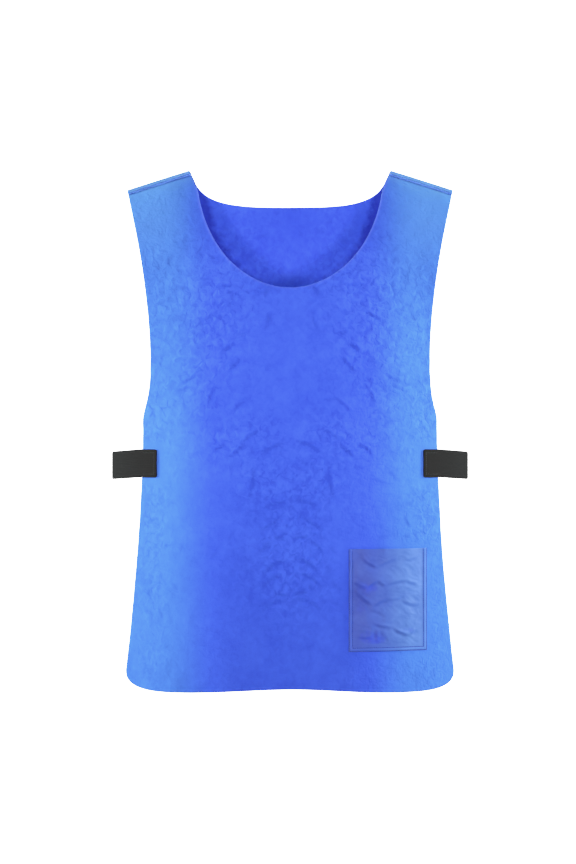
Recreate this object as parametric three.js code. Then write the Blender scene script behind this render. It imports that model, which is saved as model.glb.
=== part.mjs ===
// A sleeveless cooling vest of the tabard kind, in the form that it takes when it is worn: a front and a back
// panel of cloth that meet in a lapped seam on each shoulder, two elastic side straps, and a patch pocket.
// Millimetres, +Z up. The front faces -Y, and +X is the wearer's left. The origin is midway between the neck
// ends of the shoulders, at the height of the cloth's inner face there, where the vest sits on its wearer.
import * as THREE from "three";

// Walls, and the clearance between a layer and the one that it is sewn to.
const CLOTH_WALL = 2;
const STRAP_WALL = 1.8;
const POCKET_WALL = 1.2;
const SEAM_GAP = 0.3;

// The outline from the front. Depths are measured down from the neck ends of the shoulders.
const VEST_LENGTH = 660;
const NECK_HALF_WIDTH = 119;
const NECK_FLARE = 10;
const NECK_FLARE_DEPTH = 28;
const FRONT_NECK_DEPTH = 153;
const BACK_NECK_DEPTH = 38;
const SHOULDER_WIDTH = 79;
const SHOULDER_DROP = 25;
const ARMHOLE_HALF_WIDTH = 175.5;
const ARMHOLE_NARROWEST = 238;
const ARMHOLE_DEPTH = 320;
const CHEST_HALF_WIDTH = 185;
const HEM_HALF_WIDTH = 210;
const HEM_CORNER_ACROSS = 70;
const HEM_CORNER_UP = 30;
const HEM_RISE = 7;

// The form from the side: how far the cloth arches over each shoulder, and how deep the body is below.
const ARCH_RISE = 60;
const ARCH_DEPTH = 60;
const CHEST_DEPTH_FRONT = 54;
const CHEST_DEPTH_BACK = 46;
const SIDE_SWEEP = 50;
const SHOULDER_ROUNDING = 60;

// The shoulder seam lies forward of the shoulder's top. Both are lengths along the cloth.
const SEAM_FORWARD = 30;
const SEAM_LAP = 12;

// Side straps.
const STRAP_WIDTH = 35;
const STRAP_DEPTH = 373;
const STRAP_OVERLAP = 19;
const STRAP_REACH = 37;
const STRAP_SAG = 3;

// Patch pocket, on the wearer's left.
const POCKET_WIDTH = 98;
const POCKET_HEIGHT = 128;
const POCKET_CENTRE = 122;
const POCKET_ABOVE_HEM = 52;
const POCKET_HEM = 5;
const POCKET_SLACK = 2.6;

// How the outlines curve: 2 is an ellipse, and more is squarer.
const FRONT_NECK_POWER = 2;
const BACK_NECK_POWER = 2.6;
const ARMHOLE_POWER = 1.7;
const SIDE_POWER = 1.35;
const HEM_CORNER_POWER = 2.8;
const SWEEP_POWER = 2.6;

// The body under the cloth. down: share of VEST_LENGTH below the shoulder line. front, back: shares of the
// chest depths that the cloth stands out there, past the arch. sweep: share of SIDE_SWEEP by which its sides
// fall back.
const BODY_STATIONS = [
  { down: 0.0, front: 0.0, back: 0.0, sweep: 0.0 },
  { down: 0.07, front: 0.07, back: 0.12, sweep: 0.06 },
  { down: 0.16, front: 0.42, back: 0.62, sweep: 0.26 },
  { down: 0.26, front: 0.8, back: 0.94, sweep: 0.6 },
  { down: 0.37, front: 1.0, back: 1.0, sweep: 0.92 },
  { down: 0.56, front: 0.98, back: 0.84, sweep: 1.0 },
  { down: 0.75, front: 0.92, back: 0.76, sweep: 0.88 },
  { down: 1.05, front: 1.0, back: 0.9, sweep: 0.78 },
];

// Soft folds that fall towards the hem. across: where, as a share of HEM_HALF_WIDTH. spread: half the fold's
// width, as the same share. from: where it starts, as a share of VEST_LENGTH. out: its height at the hem, as
// a share of the chest depth of its panel.
const FOLDS = [
  { panel: "front", across: -0.78, spread: 0.2, from: 0.6, out: 0.09 },
  { panel: "front", across: -0.36, spread: 0.26, from: 0.66, out: 0.08 },
  { panel: "front", across: 0.06, spread: 0.22, from: 0.7, out: -0.07 },
  { panel: "front", across: 0.4, spread: 0.26, from: 0.74, out: 0.07 },
  { panel: "back", across: -0.6, spread: 0.26, from: 0.5, out: 0.14 },
  { panel: "back", across: -0.08, spread: 0.24, from: 0.56, out: -0.12 },
  { panel: "back", across: 0.42, spread: 0.26, from: 0.52, out: 0.13 },
];

// How each panel is divided. shoulderRows: lengths along the cloth of the rows over each shoulder. yokeRows
// run from the neck edge to the armhole, and bodyRows from the centre to the side. turn: the armhole depth
// that the row from the neck's lowest point runs out to, as a share of ARMHOLE_NARROWEST.
const LAP_START = SEAM_FORWARD - SEAM_LAP;
const LAP_MIDDLE = SEAM_FORWARD - SEAM_LAP / 2;
const PANELS = {
  front: {
    neckDepth: FRONT_NECK_DEPTH,
    neckPower: FRONT_NECK_POWER,
    shoulderRows: [LAP_START, LAP_MIDDLE, SEAM_FORWARD],
    yokeRows: 13,
    bodyRows: 19,
    turn: 0.92,
  },
  back: {
    neckDepth: BACK_NECK_DEPTH,
    neckPower: BACK_NECK_POWER,
    shoulderRows: [-SEAM_FORWARD, -LAP_MIDDLE, -LAP_START, -LAP_START / 2, 0, LAP_START / 2, LAP_START],
    yokeRows: 11,
    bodyRows: 22,
    turn: 0.62,
  },
};
const COLUMNS = 12;
const CORNER_ROWS = 4;
// Over 1, the yoke's rows are closest at the shoulder.
const YOKE_EASE = 1.25;
// The higher it is, the later the rows take up the hem's own curve on the way down.
const HEM_POWER = 6;

const STRAP_ROWS = 2;
const STRAP_SEWN_STEPS = 4;
const STRAP_FREE_STEPS = 18;
const POCKET_COLUMNS = 10;
const POCKET_ROWS = 12;

// How finely an edge is sampled before it is divided evenly.
const EDGE_SAMPLES = 160;
// A length along the cloth over which its slope is measured.
const SLOPE_STEP = 0.5;

// Half the width across both shoulders.
const SHOULDER_HALF_WIDTH = NECK_HALF_WIDTH + NECK_FLARE + SHOULDER_WIDTH;

const CLOTH = new THREE.MeshStandardMaterial({ color: 0x4c78f2, roughness: 0.85, metalness: 0 });
const ELASTIC = new THREE.MeshStandardMaterial({ color: 0x393939, roughness: 0.9, metalness: 0 });
const FILM = new THREE.MeshStandardMaterial({ color: 0x5673cc, roughness: 0.5, metalness: 0 });

// Small sums.

const mix = (a, b, t) => a + (b - a) * t;
const clamp01 = (t) => Math.min(1, Math.max(0, t));
const smooth = (t) => clamp01(t) ** 2 * (3 - 2 * clamp01(t));

// The value of a table's column at a place along its first column, on a smooth curve through the rows.
function tableValue(table, column, at) {
  const last = table.length - 1;
  const inside = Math.min(Math.max(at, table[0].down), table[last].down);
  let i = 0;
  while (i < last - 1 && inside > table[i + 1].down) i += 1;
  const slope = (k) => {
    const [low, high] = [table[Math.max(k - 1, 0)], table[Math.min(k + 1, last)]];
    return (high[column] - low[column]) / (high.down - low.down);
  };
  const span = table[i + 1].down - table[i].down;
  const t = (inside - table[i].down) / span;
  const [h0, h1] = [2 * t ** 3 - 3 * t ** 2 + 1, t ** 3 - 2 * t ** 2 + t];
  const [h2, h3] = [3 * t ** 2 - 2 * t ** 3, t ** 3 - t ** 2];
  return (
    h0 * table[i][column] + h1 * span * slope(i) + h2 * table[i + 1][column] + h3 * span * slope(i + 1)
  );
}

// The worn form. A place on the cloth is x, and along: the length along the cloth from the shoulder's top,
// which is negative where the back panel comes over to the front.

// Height of the shoulder's top at x.
function shoulderLine(x) {
  const rounded = (v) => Math.hypot(v, SHOULDER_ROUNDING);
  const neck = rounded(NECK_HALF_WIDTH + NECK_FLARE);
  return (SHOULDER_DROP * (neck - rounded(x))) / (rounded(SHOULDER_HALF_WIDTH) - neck);
}

const ARCH_LENGTH = (ARCH_RISE * Math.PI) / 2;

const dropAt = (along) =>
  along < ARCH_LENGTH ? ARCH_RISE * (1 - Math.cos(along / ARCH_RISE)) : ARCH_RISE + along - ARCH_LENGTH;

const alongAt = (drop) =>
  drop < ARCH_RISE
    ? ARCH_RISE * Math.acos(1 - Math.max(drop, 0) / ARCH_RISE)
    : ARCH_LENGTH + drop - ARCH_RISE;

const depthAt = (x, along) => dropAt(Math.abs(along)) - shoulderLine(x);

const alongAtDepth = (x, depth) => alongAt(depth + shoulderLine(x));

// How far a panel stands out from the shoulder's top, forwards or backwards.
function standOut(panel, x, along) {
  const down = dropAt(along) / VEST_LENGTH;
  const chest = panel === "front" ? CHEST_DEPTH_FRONT : CHEST_DEPTH_BACK;
  const arch = ARCH_DEPTH * Math.sin(Math.min(along / ARCH_RISE, Math.PI / 2));
  const sweep = SIDE_SWEEP * tableValue(BODY_STATIONS, "sweep", down);
  const falls = sweep * Math.abs(x / CHEST_HALF_WIDTH) ** SWEEP_POWER;
  let folds = 0;
  for (const fold of FOLDS.filter((f) => f.panel === panel)) {
    const across = (x / HEM_HALF_WIDTH - fold.across) / fold.spread;
    const grown = smooth((down - fold.from) / (1 - fold.from));
    folds += chest * fold.out * grown * Math.exp(-across * across);
  }
  return arch + chest * tableValue(BODY_STATIONS, panel, down) - falls + folds;
}

// A point on a panel's inner face.
function facePoint(panel, x, along) {
  const side = along < 0 ? "front" : panel;
  const out = standOut(side, x, Math.abs(along));
  return new THREE.Vector3(x, side === "front" ? -out : out, -depthAt(x, along));
}

// A point lifted off a panel's inner face, square to it and away from the wearer.
function clothPoint(panel, x, along, lift) {
  const near = (byX, byAlong) => facePoint(panel, x + byX, along + byAlong);
  const across = near(SLOPE_STEP, 0).sub(near(-SLOPE_STEP, 0));
  const down = near(0, SLOPE_STEP).sub(near(0, -SLOPE_STEP));
  const outward = down.cross(across).normalize();
  if (panel === "back") outward.negate();
  return near(0, 0).addScaledVector(outward, lift);
}

// The outline.

// Half the width from one side edge or armhole to the other, before the hem's corners are rounded.
function halfWidth(depth) {
  if (depth < ARMHOLE_NARROWEST) {
    const up = (ARMHOLE_NARROWEST - depth) / (ARMHOLE_NARROWEST - SHOULDER_DROP);
    return mix(ARMHOLE_HALF_WIDTH, SHOULDER_HALF_WIDTH, up ** ARMHOLE_POWER);
  }
  const below = ((depth - ARMHOLE_NARROWEST) / (ARMHOLE_DEPTH - ARMHOLE_NARROWEST)) ** 2;
  const down = Math.max(0, depth - ARMHOLE_DEPTH) / (VEST_LENGTH - ARMHOLE_DEPTH);
  const chest = mix(ARMHOLE_HALF_WIDTH, CHEST_HALF_WIDTH, smooth(below));
  return chest + (HEM_HALF_WIDTH - CHEST_HALF_WIDTH) * down ** SIDE_POWER;
}

const neckFlare = (depth) => NECK_FLARE * clamp01(1 - depth / NECK_FLARE_DEPTH) ** 2;

// Half the width of a neck opening at a depth.
function neckHalfWidth(neckDepth, power, depth) {
  const share = clamp01(depth / neckDepth);
  return NECK_HALF_WIDTH * (1 - share ** power) ** (1 / power) + neckFlare(depth);
}

// The place at one length along the cloth where an edge runs, with x found in a few rounds from a guess.
function edgePlace(widthAt, along, guess) {
  let x = guess;
  for (let round = 0; round < 12; round += 1) x = widthAt(Math.max(0, depthAt(x, along)));
  return new THREE.Vector2(x, along);
}

const armholePlace = (along) => edgePlace(halfWidth, along, SHOULDER_HALF_WIDTH);

const neckPlace = (neckDepth, power, along) =>
  edgePlace((depth) => neckHalfWidth(neckDepth, power, depth), along, NECK_HALF_WIDTH);

// The neck edge from a length along the cloth down to its lowest point at the centre.
function neckEdge(neckDepth, power, start) {
  const places = [neckPlace(neckDepth, power, start)];
  for (let i = 1; i <= EDGE_SAMPLES; i += 1) {
    const turn = ((i / EDGE_SAMPLES) * Math.PI) / 2;
    const depth = neckDepth * Math.sin(turn) ** (2 / power);
    const x = NECK_HALF_WIDTH * Math.cos(turn) ** (2 / power) + neckFlare(depth);
    const place = new THREE.Vector2(i === EDGE_SAMPLES ? 0 : x, 0);
    place.y = alongAtDepth(place.x, depth);
    if (place.y > start + SLOPE_STEP) places.push(place);
  }
  return places;
}

// The armhole's edge between two lengths along the cloth.
const armholeEdge = (from, to) =>
  Array.from({ length: EDGE_SAMPLES + 1 }, (_, i) => armholePlace(mix(from, to, i / EDGE_SAMPLES)));

// The rounded hem corner: turn is 0 where it leaves the side, and a quarter turn where it joins the hem.
function cornerPlace(turn) {
  const round = (share) => 1 - Math.max(0, share) ** (2 / HEM_CORNER_POWER);
  const depth = VEST_LENGTH - HEM_CORNER_UP * round(Math.sin(turn));
  const x = halfWidth(depth) - HEM_CORNER_ACROSS * round(Math.cos(turn));
  return new THREE.Vector2(x, alongAtDepth(x, depth));
}

// Part of the corner, from one turn to another.
const cornerEdge = (from, to) =>
  Array.from({ length: EDGE_SAMPLES + 1 }, (_, i) => cornerPlace(mix(from, to, i / EDGE_SAMPLES)));

// The side edge from a depth on the armhole down to the hem's corner.
function sideEdge(startDepth) {
  const places = [];
  for (let i = 0; i <= EDGE_SAMPLES; i += 1) {
    const depth = mix(startDepth, VEST_LENGTH - HEM_CORNER_UP, i / EDGE_SAMPLES);
    const x = halfWidth(depth);
    places.push(new THREE.Vector2(x, alongAtDepth(x, depth)));
  }
  return places;
}

// The hem from the centre to the middle of the corner. It rises a little towards the centre.
function hemEdge() {
  const low = halfWidth(VEST_LENGTH) - HEM_CORNER_ACROSS;
  const places = [];
  for (let i = 0; i <= EDGE_SAMPLES; i += 1) {
    const x = (low * i) / EDGE_SAMPLES;
    const depth = VEST_LENGTH - HEM_RISE * (1 - (x / low) ** 2) ** 2;
    places.push(new THREE.Vector2(x, alongAtDepth(x, depth)));
  }
  return [...places, ...cornerEdge(Math.PI / 2, Math.PI / 4).slice(1)];
}

// An edge again as so many steps of even length. Over 1, ease makes the first steps the shortest.
function evenSteps(places, steps, ease = 1) {
  const lengths = [0];
  for (let i = 1; i < places.length; i += 1)
    lengths.push(lengths[i - 1] + places[i].distanceTo(places[i - 1]));
  const whole = lengths[places.length - 1];
  const result = [];
  for (let k = 0, i = 1; k <= steps; k += 1) {
    const at = whole * (k / steps) ** ease;
    while (i < places.length - 1 && lengths[i] < at) i += 1;
    const t = clamp01((at - lengths[i - 1]) / (lengths[i] - lengths[i - 1]));
    result.push(places[i - 1].clone().lerp(places[i], t));
  }
  return result;
}

// Cloth walls. A sheet is a list of places and the four-sided cells between them.

// The rows of half a panel, each with its end at the neck or centre and its end at the armhole or side.
function panelRows(panel) {
  const { neckDepth, neckPower, shoulderRows, yokeRows, bodyRows, turn } = PANELS[panel];
  const rows = shoulderRows.map((along) => {
    const onFront = panel === "front" || along < 0;
    const neck = onFront ? [FRONT_NECK_DEPTH, FRONT_NECK_POWER] : [neckDepth, neckPower];
    return { inner: neckPlace(...neck, along), outer: armholePlace(along) };
  });
  const yokeTop = shoulderRows[shoulderRows.length - 1];
  const turnDepth = turn * ARMHOLE_NARROWEST;
  const turnAlong = alongAtDepth(halfWidth(turnDepth), turnDepth);
  const neck = neckEdge(neckDepth, neckPower, yokeTop);
  const centreFoot = hemEdge()[0];
  const cornerTop = new THREE.Vector2(0, centreFoot.y - HEM_CORNER_UP);
  const stretches = [
    { inner: neck, outer: armholeEdge(yokeTop, turnAlong), steps: yokeRows, ease: YOKE_EASE },
    { inner: [neck[neck.length - 1], cornerTop], outer: sideEdge(turnDepth), steps: bodyRows, ease: 1 },
    { inner: [cornerTop, centreFoot], outer: cornerEdge(0, Math.PI / 4), steps: CORNER_ROWS, ease: 1 },
  ];
  for (const { inner, outer, steps, ease } of stretches) {
    const ends = [evenSteps(inner, steps, ease), evenSteps(outer, steps, ease)];
    for (let i = 1; i <= steps; i += 1) rows.push({ inner: ends[0][i], outer: ends[1][i] });
  }
  return rows;
}

// The whole panel as a sheet: half of it made row by row, and the other half its mirror image.
function panelSheet(panel) {
  const hem = evenSteps(hemEdge(), COLUMNS);
  const rows = panelRows(panel);
  const places = [];
  const index = rows.map(({ inner, outer }, i) =>
    hem.map((hemPlace, j) => {
      const place = inner.clone().lerp(outer, j / COLUMNS);
      const straight = hem[0].clone().lerp(hem[COLUMNS], j / COLUMNS);
      place.addScaledVector(hemPlace.clone().sub(straight), (i / (rows.length - 1)) ** HEM_POWER);
      places.push(place);
      const right = places.length - 1;
      if (j === 0 && inner.x === 0) return [right, right];
      places.push(new THREE.Vector2(-place.x, place.y));
      return [right, places.length - 1];
    }),
  );
  const cells = [];
  for (let i = 0; i + 1 < index.length; i += 1)
    for (let j = 0; j < COLUMNS; j += 1) {
      const corners = [index[i][j], index[i + 1][j], index[i + 1][j + 1], index[i][j + 1]];
      cells.push(corners.map((corner) => corner[0]));
      cells.push(corners.map((corner) => corner[1]).reverse());
    }
  return { places, cells };
}

// A rectangular sheet of columns and rows, whose places a function gives from two shares.
function gridSheet(columns, rows, placeAt) {
  const places = [];
  const cells = [];
  for (let i = 0; i <= rows; i += 1)
    for (let j = 0; j <= columns; j += 1) places.push(placeAt(j / columns, i / rows));
  const at = (i, j) => i * (columns + 1) + j;
  for (let i = 0; i < rows; i += 1)
    for (let j = 0; j < columns; j += 1)
      cells.push([at(i, j), at(i + 1, j), at(i + 1, j + 1), at(i, j + 1)]);
  return { places, cells };
}

// The same cells seen from the other side.
const turnedOver = (cells) => cells.map((cell) => [...cell].reverse());

// A closed wall between an inner and an outer point for each place of a sheet, with a rim round its free
// edges. Cells run counter-clockwise as seen from outside.
function wall(cells, innerPoints, outerPoints) {
  const count = innerPoints.length;
  const triangles = [];
  const free = new Map();
  for (const [a, b, c, d] of cells) {
    triangles.push([a, c, b], [a, d, c]);
    triangles.push([count + a, count + b, count + c], [count + a, count + c, count + d]);
    for (const [from, to] of [[a, b], [b, c], [c, d], [d, a]])
      if (!free.delete(`${to},${from}`)) free.set(`${from},${to}`, [from, to]);
  }
  for (const [from, to] of free.values())
    triangles.push([from, to, count + to], [from, count + to, count + from]);
  const geometry = new THREE.BufferGeometry().setFromPoints([...innerPoints, ...outerPoints]);
  geometry.setIndex(triangles.flat());
  geometry.computeVertexNormals();
  return geometry;
}

// The pieces.

function piece(name, geometry, material) {
  const mesh = new THREE.Mesh(geometry, material);
  mesh.name = name;
  return mesh;
}

function frontPanel() {
  const { places, cells } = panelSheet("front");
  const skin = (lift) => places.map((p) => clothPoint("front", p.x, p.y, lift));
  return piece("front_panel", wall(cells, skin(0), skin(CLOTH_WALL)), CLOTH);
}

// The back panel rises onto the front panel's top edge before it reaches it.
function backPanel() {
  const { places, cells } = panelSheet("back");
  const onTop = (along) => (CLOTH_WALL + SEAM_GAP) * smooth((2 * -along) / LAP_START);
  const skin = (lift) => places.map((p) => clothPoint("back", p.x, p.y, lift + onTop(p.y)));
  return piece("back_panel", wall(turnedOver(cells), skin(0), skin(CLOTH_WALL)), CLOTH);
}

// What is sewn onto a panel's outer face starts this far off the panel's inner face.
const SEWN_ON = CLOTH_WALL + SEAM_GAP;

// A curve's two middle handles carry its middle this share of their own way out.
const HANDLE_SHARE = 0.75;

// One lengthwise line of a strap, at a depth: sewn along the front panel, free round the side, and sewn along
// the back panel.
function strapLine(side, depth, lift) {
  const edge = halfWidth(STRAP_DEPTH) + CLOTH_WALL;
  const sewn = (panel, inward) => {
    const x = side * (edge - inward);
    return clothPoint(panel, x, alongAtDepth(x, depth), lift);
  };
  const sewnLine = (panel) =>
    Array.from({ length: STRAP_SEWN_STEPS }, (_, i) =>
      sewn(panel, (STRAP_OVERLAP + CLOTH_WALL) * (1 - i / STRAP_SEWN_STEPS)),
    );
  const sag = new THREE.Vector3(0, 0, -STRAP_SAG / HANDLE_SHARE);
  const handle = (panel) => {
    const start = sewn(panel, 0);
    const outward = start.clone().sub(sewn(panel, SLOPE_STEP));
    const reach = (STRAP_REACH - CLOTH_WALL + lift) / HANDLE_SHARE;
    return start.addScaledVector(outward, reach / Math.abs(outward.x)).add(sag);
  };
  const ends = [sewn("front", 0), handle("front"), handle("back"), sewn("back", 0)];
  const free = new THREE.CubicBezierCurve3(...ends).getPoints(STRAP_FREE_STEPS);
  return [...sewnLine("front"), ...free, ...sewnLine("back").reverse()];
}

function sideStrap(name, side) {
  const skin = (lift) =>
    Array.from({ length: STRAP_ROWS + 1 }, (_, i) =>
      strapLine(side, STRAP_DEPTH + STRAP_WIDTH * (i / STRAP_ROWS - 1 / 2), lift),
    ).flat();
  const { cells } = gridSheet(2 * STRAP_SEWN_STEPS + STRAP_FREE_STEPS, STRAP_ROWS, () => null);
  const outward = side > 0 ? cells : turnedOver(cells);
  return piece(name, wall(outward, skin(SEWN_ON), skin(SEWN_ON + STRAP_WALL)), ELASTIC);
}

// The pocket lies on the front panel along its three sewn edges, and stands off it a little inside them.
function pocket() {
  const topDepth = VEST_LENGTH - POCKET_ABOVE_HEM - POCKET_HEIGHT;
  const slackFrom = (edge) => smooth((edge - POCKET_HEM) / (2 * POCKET_HEM));
  const { places, cells } = gridSheet(POCKET_COLUMNS, POCKET_ROWS, (across, down) => {
    const x = POCKET_CENTRE + POCKET_WIDTH * (across - 1 / 2);
    const fromSide = POCKET_WIDTH * Math.min(across, 1 - across);
    const fromFoot = POCKET_HEIGHT * (1 - down);
    const slack = POCKET_SLACK * slackFrom(fromSide) * slackFrom(fromFoot);
    return { x, along: alongAtDepth(x, topDepth + POCKET_HEIGHT * down), slack };
  });
  const skin = (lift) => places.map((p) => clothPoint("front", p.x, p.along, SEWN_ON + lift + p.slack));
  return piece("pocket", wall(cells, skin(0), skin(POCKET_WALL)), FILM);
}

const vest = new THREE.Group();
vest.add(
  frontPanel(),
  backPanel(),
  sideStrap("side_strap_left", 1),
  sideStrap("side_strap_right", -1),
  pocket(),
);

export default vest;
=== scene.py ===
"""The looks of a cooling vest, made around its construction model.

Two panels of soft chamois-like cloth hang from the shoulders, two black elastic bands join their sides, and a
patch of frosted film makes a pocket on the front. -Y is the front, +X the wearer's left, and +Z up.
"""

import math
import random

import bpy
import numpy as np
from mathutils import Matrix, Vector, noise


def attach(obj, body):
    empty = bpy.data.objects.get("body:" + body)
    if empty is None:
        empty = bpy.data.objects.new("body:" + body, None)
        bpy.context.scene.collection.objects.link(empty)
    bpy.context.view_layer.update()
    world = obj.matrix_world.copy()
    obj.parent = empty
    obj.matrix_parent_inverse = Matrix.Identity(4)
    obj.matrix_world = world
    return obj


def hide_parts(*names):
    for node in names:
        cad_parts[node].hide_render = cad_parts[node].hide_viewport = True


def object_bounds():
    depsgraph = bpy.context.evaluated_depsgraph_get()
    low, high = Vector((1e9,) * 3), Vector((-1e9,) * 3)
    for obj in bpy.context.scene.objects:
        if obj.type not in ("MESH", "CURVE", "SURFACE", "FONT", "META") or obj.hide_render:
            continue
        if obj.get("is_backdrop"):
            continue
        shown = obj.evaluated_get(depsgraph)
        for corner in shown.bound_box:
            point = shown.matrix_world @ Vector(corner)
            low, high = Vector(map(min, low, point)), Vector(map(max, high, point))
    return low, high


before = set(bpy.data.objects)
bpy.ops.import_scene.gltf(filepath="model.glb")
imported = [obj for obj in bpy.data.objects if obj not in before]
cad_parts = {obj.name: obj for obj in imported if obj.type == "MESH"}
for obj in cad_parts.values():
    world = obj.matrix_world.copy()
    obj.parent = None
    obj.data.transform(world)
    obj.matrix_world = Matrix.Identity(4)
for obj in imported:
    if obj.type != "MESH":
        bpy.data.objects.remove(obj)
CAD_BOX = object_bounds()

# Sizes are in millimetres, as in the construction model, and become metres when a mesh is made.
MM = 0.001

# The panels' outline and worn form. These repeat the construction model's sizes. Five of them are
# trued finer to the photo: SIDE_POWER, HEM_RISE, HEM_CORNER_POWER, BACK_NECK_POWER and NECK_FLARE_DEPTH.
CLOTH_WALL = 2
STRAP_WALL = 1.8
POCKET_WALL = 1.2
SEAM_GAP = 0.3
VEST_LENGTH = 660
NECK_HALF_WIDTH = 119
NECK_FLARE = 10
NECK_FLARE_DEPTH = 33
FRONT_NECK_DEPTH = 153
BACK_NECK_DEPTH = 38
SHOULDER_WIDTH = 79
SHOULDER_DROP = 25
ARMHOLE_HALF_WIDTH = 175.5
ARMHOLE_NARROWEST = 238
ARMHOLE_DEPTH = 320
CHEST_HALF_WIDTH = 185
HEM_HALF_WIDTH = 210
HEM_CORNER_ACROSS = 70
HEM_CORNER_UP = 30
HEM_RISE = 5
ARCH_RISE = 60
ARCH_DEPTH = 60
CHEST_DEPTH = {"front": 54, "back": 46}
SIDE_SWEEP = 50
SHOULDER_ROUNDING = 60
SEAM_FORWARD = 30
SEAM_LAP = 12
FRONT_NECK_POWER = 2
BACK_NECK_POWER = 3.2
ARMHOLE_POWER = 1.7
SIDE_POWER = 1.7
HEM_CORNER_POWER = 3
SWEEP_POWER = 2.6

# The straps: sewn onto both panels STRAP_DEPTH below the shoulder, and free round the sides.
STRAP_WIDTH = 35
STRAP_DEPTH = 373
STRAP_OVERLAP = 19
STRAP_REACH = 37
STRAP_SAG = 3

# The pocket, on the front panel to the wearer's left.
POCKET_WIDTH = 98
POCKET_HEIGHT = 128
POCKET_CENTRE = 122
POCKET_ABOVE_HEM = 52
POCKET_HEM = 5
POCKET_SLACK = 2.6

# The body under the cloth. down is a share of VEST_LENGTH, front and back are shares of CHEST_DEPTH, and
# sweep, how far the sides fall back, is a share of SIDE_SWEEP.
BODY_STATIONS = [
    {"down": 0.0, "front": 0.0, "back": 0.0, "sweep": 0.0},
    {"down": 0.07, "front": 0.07, "back": 0.12, "sweep": 0.06},
    {"down": 0.16, "front": 0.42, "back": 0.62, "sweep": 0.26},
    {"down": 0.26, "front": 0.8, "back": 0.94, "sweep": 0.6},
    {"down": 0.37, "front": 1.0, "back": 1.0, "sweep": 0.92},
    {"down": 0.56, "front": 0.98, "back": 0.84, "sweep": 1.0},
    {"down": 0.75, "front": 0.92, "back": 0.76, "sweep": 0.88},
    {"down": 1.05, "front": 1.0, "back": 0.9, "sweep": 0.78},
]

# Folds that grow towards the hem. across and spread are shares of HEM_HALF_WIDTH, start of VEST_LENGTH, and
# out of CHEST_DEPTH.
FOLDS = [
    {"panel": "front", "across": -0.78, "spread": 0.2, "start": 0.6, "out": 0.09},
    {"panel": "front", "across": -0.36, "spread": 0.26, "start": 0.66, "out": 0.08},
    {"panel": "front", "across": 0.06, "spread": 0.22, "start": 0.7, "out": -0.07},
    {"panel": "front", "across": 0.4, "spread": 0.26, "start": 0.74, "out": 0.07},
    {"panel": "back", "across": -0.6, "spread": 0.26, "start": 0.5, "out": 0.14},
    {"panel": "back", "across": -0.08, "spread": 0.24, "start": 0.56, "out": -0.12},
    {"panel": "back", "across": 0.42, "spread": 0.26, "start": 0.52, "out": 0.13},
]

# Each panel's neckline as its depth and power, and how finely its cloth is divided into cells. shoulder
# gives the first and last length along the cloth over the shoulder, and the steps between them. The yoke's
# rows run from the neck to the armhole, down to turn, a share of ARMHOLE_NARROWEST. seed sets the panel's
# own crumple.
PANELS = {
    "front": {
        "neck": (FRONT_NECK_DEPTH, FRONT_NECK_POWER),
        "columns": 78,
        "shoulder": (SEAM_FORWARD - SEAM_LAP, SEAM_FORWARD, 5),
        "yoke_rows": 74,
        "body_rows": 172,
        "turn": 0.92,
        "seed": 3,
    },
    "back": {
        "neck": (BACK_NECK_DEPTH, BACK_NECK_POWER),
        "columns": 70,
        "shoulder": (-SEAM_FORWARD, SEAM_FORWARD - SEAM_LAP, 20),
        "yoke_rows": 54,
        "body_rows": 200,
        "turn": 0.62,
        "seed": 11,
    },
}
CORNER_ROWS = 12
YOKE_EASE = 1.1
HEM_POWER = 6
EDGE_SAMPLES = 400
EDGE_ROUNDS = 12
SLOPE_STEP = 0.5


# Small sums, on whole arrays at once.


def smooth(t):
    """0 below 0, 1 above 1, and a soft step between them."""
    t = np.clip(t, 0, 1)
    return t * t * (3 - 2 * t)


def mix(a, b, t):
    """From a at 0 to b at 1."""
    return a + (b - a) * t


def station_value(column, at):
    """A column of the body's table on a smooth curve through its rows."""
    downs = np.array([row["down"] for row in BODY_STATIONS])
    values = np.array([row[column] for row in BODY_STATIONS])
    low = np.maximum(np.arange(len(downs)) - 1, 0)
    high = np.minimum(np.arange(len(downs)) + 1, len(downs) - 1)
    slopes = (values[high] - values[low]) / (downs[high] - downs[low])
    at = np.clip(at, downs[0], downs[-1])
    i = np.clip(np.searchsorted(downs, at, side="left") - 1, 0, len(downs) - 2)
    span = downs[i + 1] - downs[i]
    t = (at - downs[i]) / span
    return (
        (2 * t**3 - 3 * t**2 + 1) * values[i]
        + (t**3 - 2 * t**2 + t) * span * slopes[i]
        + (3 * t**2 - 2 * t**3) * values[i + 1]
        + (t**3 - t**2) * span * slopes[i + 1]
    )


# The worn form. A place on the cloth is x, and along: the length along the cloth from the shoulder's top,
# which is negative where the back panel comes over to the front.

ARCH_LENGTH = ARCH_RISE * math.pi / 2
SHOULDER_HALF_WIDTH = NECK_HALF_WIDTH + NECK_FLARE + SHOULDER_WIDTH


def shoulder_line(x):
    """The shoulder's height over its neck point, which falls towards its tip."""
    neck = math.hypot(NECK_HALF_WIDTH + NECK_FLARE, SHOULDER_ROUNDING)
    tip = math.hypot(SHOULDER_HALF_WIDTH, SHOULDER_ROUNDING)
    return SHOULDER_DROP * (neck - np.hypot(x, SHOULDER_ROUNDING)) / (tip - neck)


def drop_at(along):
    """How far a length along the cloth leads down: first over the shoulder's arch, and then straight."""
    arch = ARCH_RISE * (1 - np.cos(np.minimum(along / ARCH_RISE, math.pi / 2)))
    return arch + np.maximum(along - ARCH_LENGTH, 0)


def along_at(drop):
    """The length along the cloth that leads down so far."""
    arch = ARCH_RISE * np.arccos(1 - np.clip(drop / ARCH_RISE, 0, 1))
    return arch + np.maximum(drop - ARCH_RISE, 0)


def depth_at(x, along):
    """How far a place on the cloth lies below the shoulder's neck point."""
    return drop_at(np.abs(along)) - shoulder_line(x)


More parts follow.
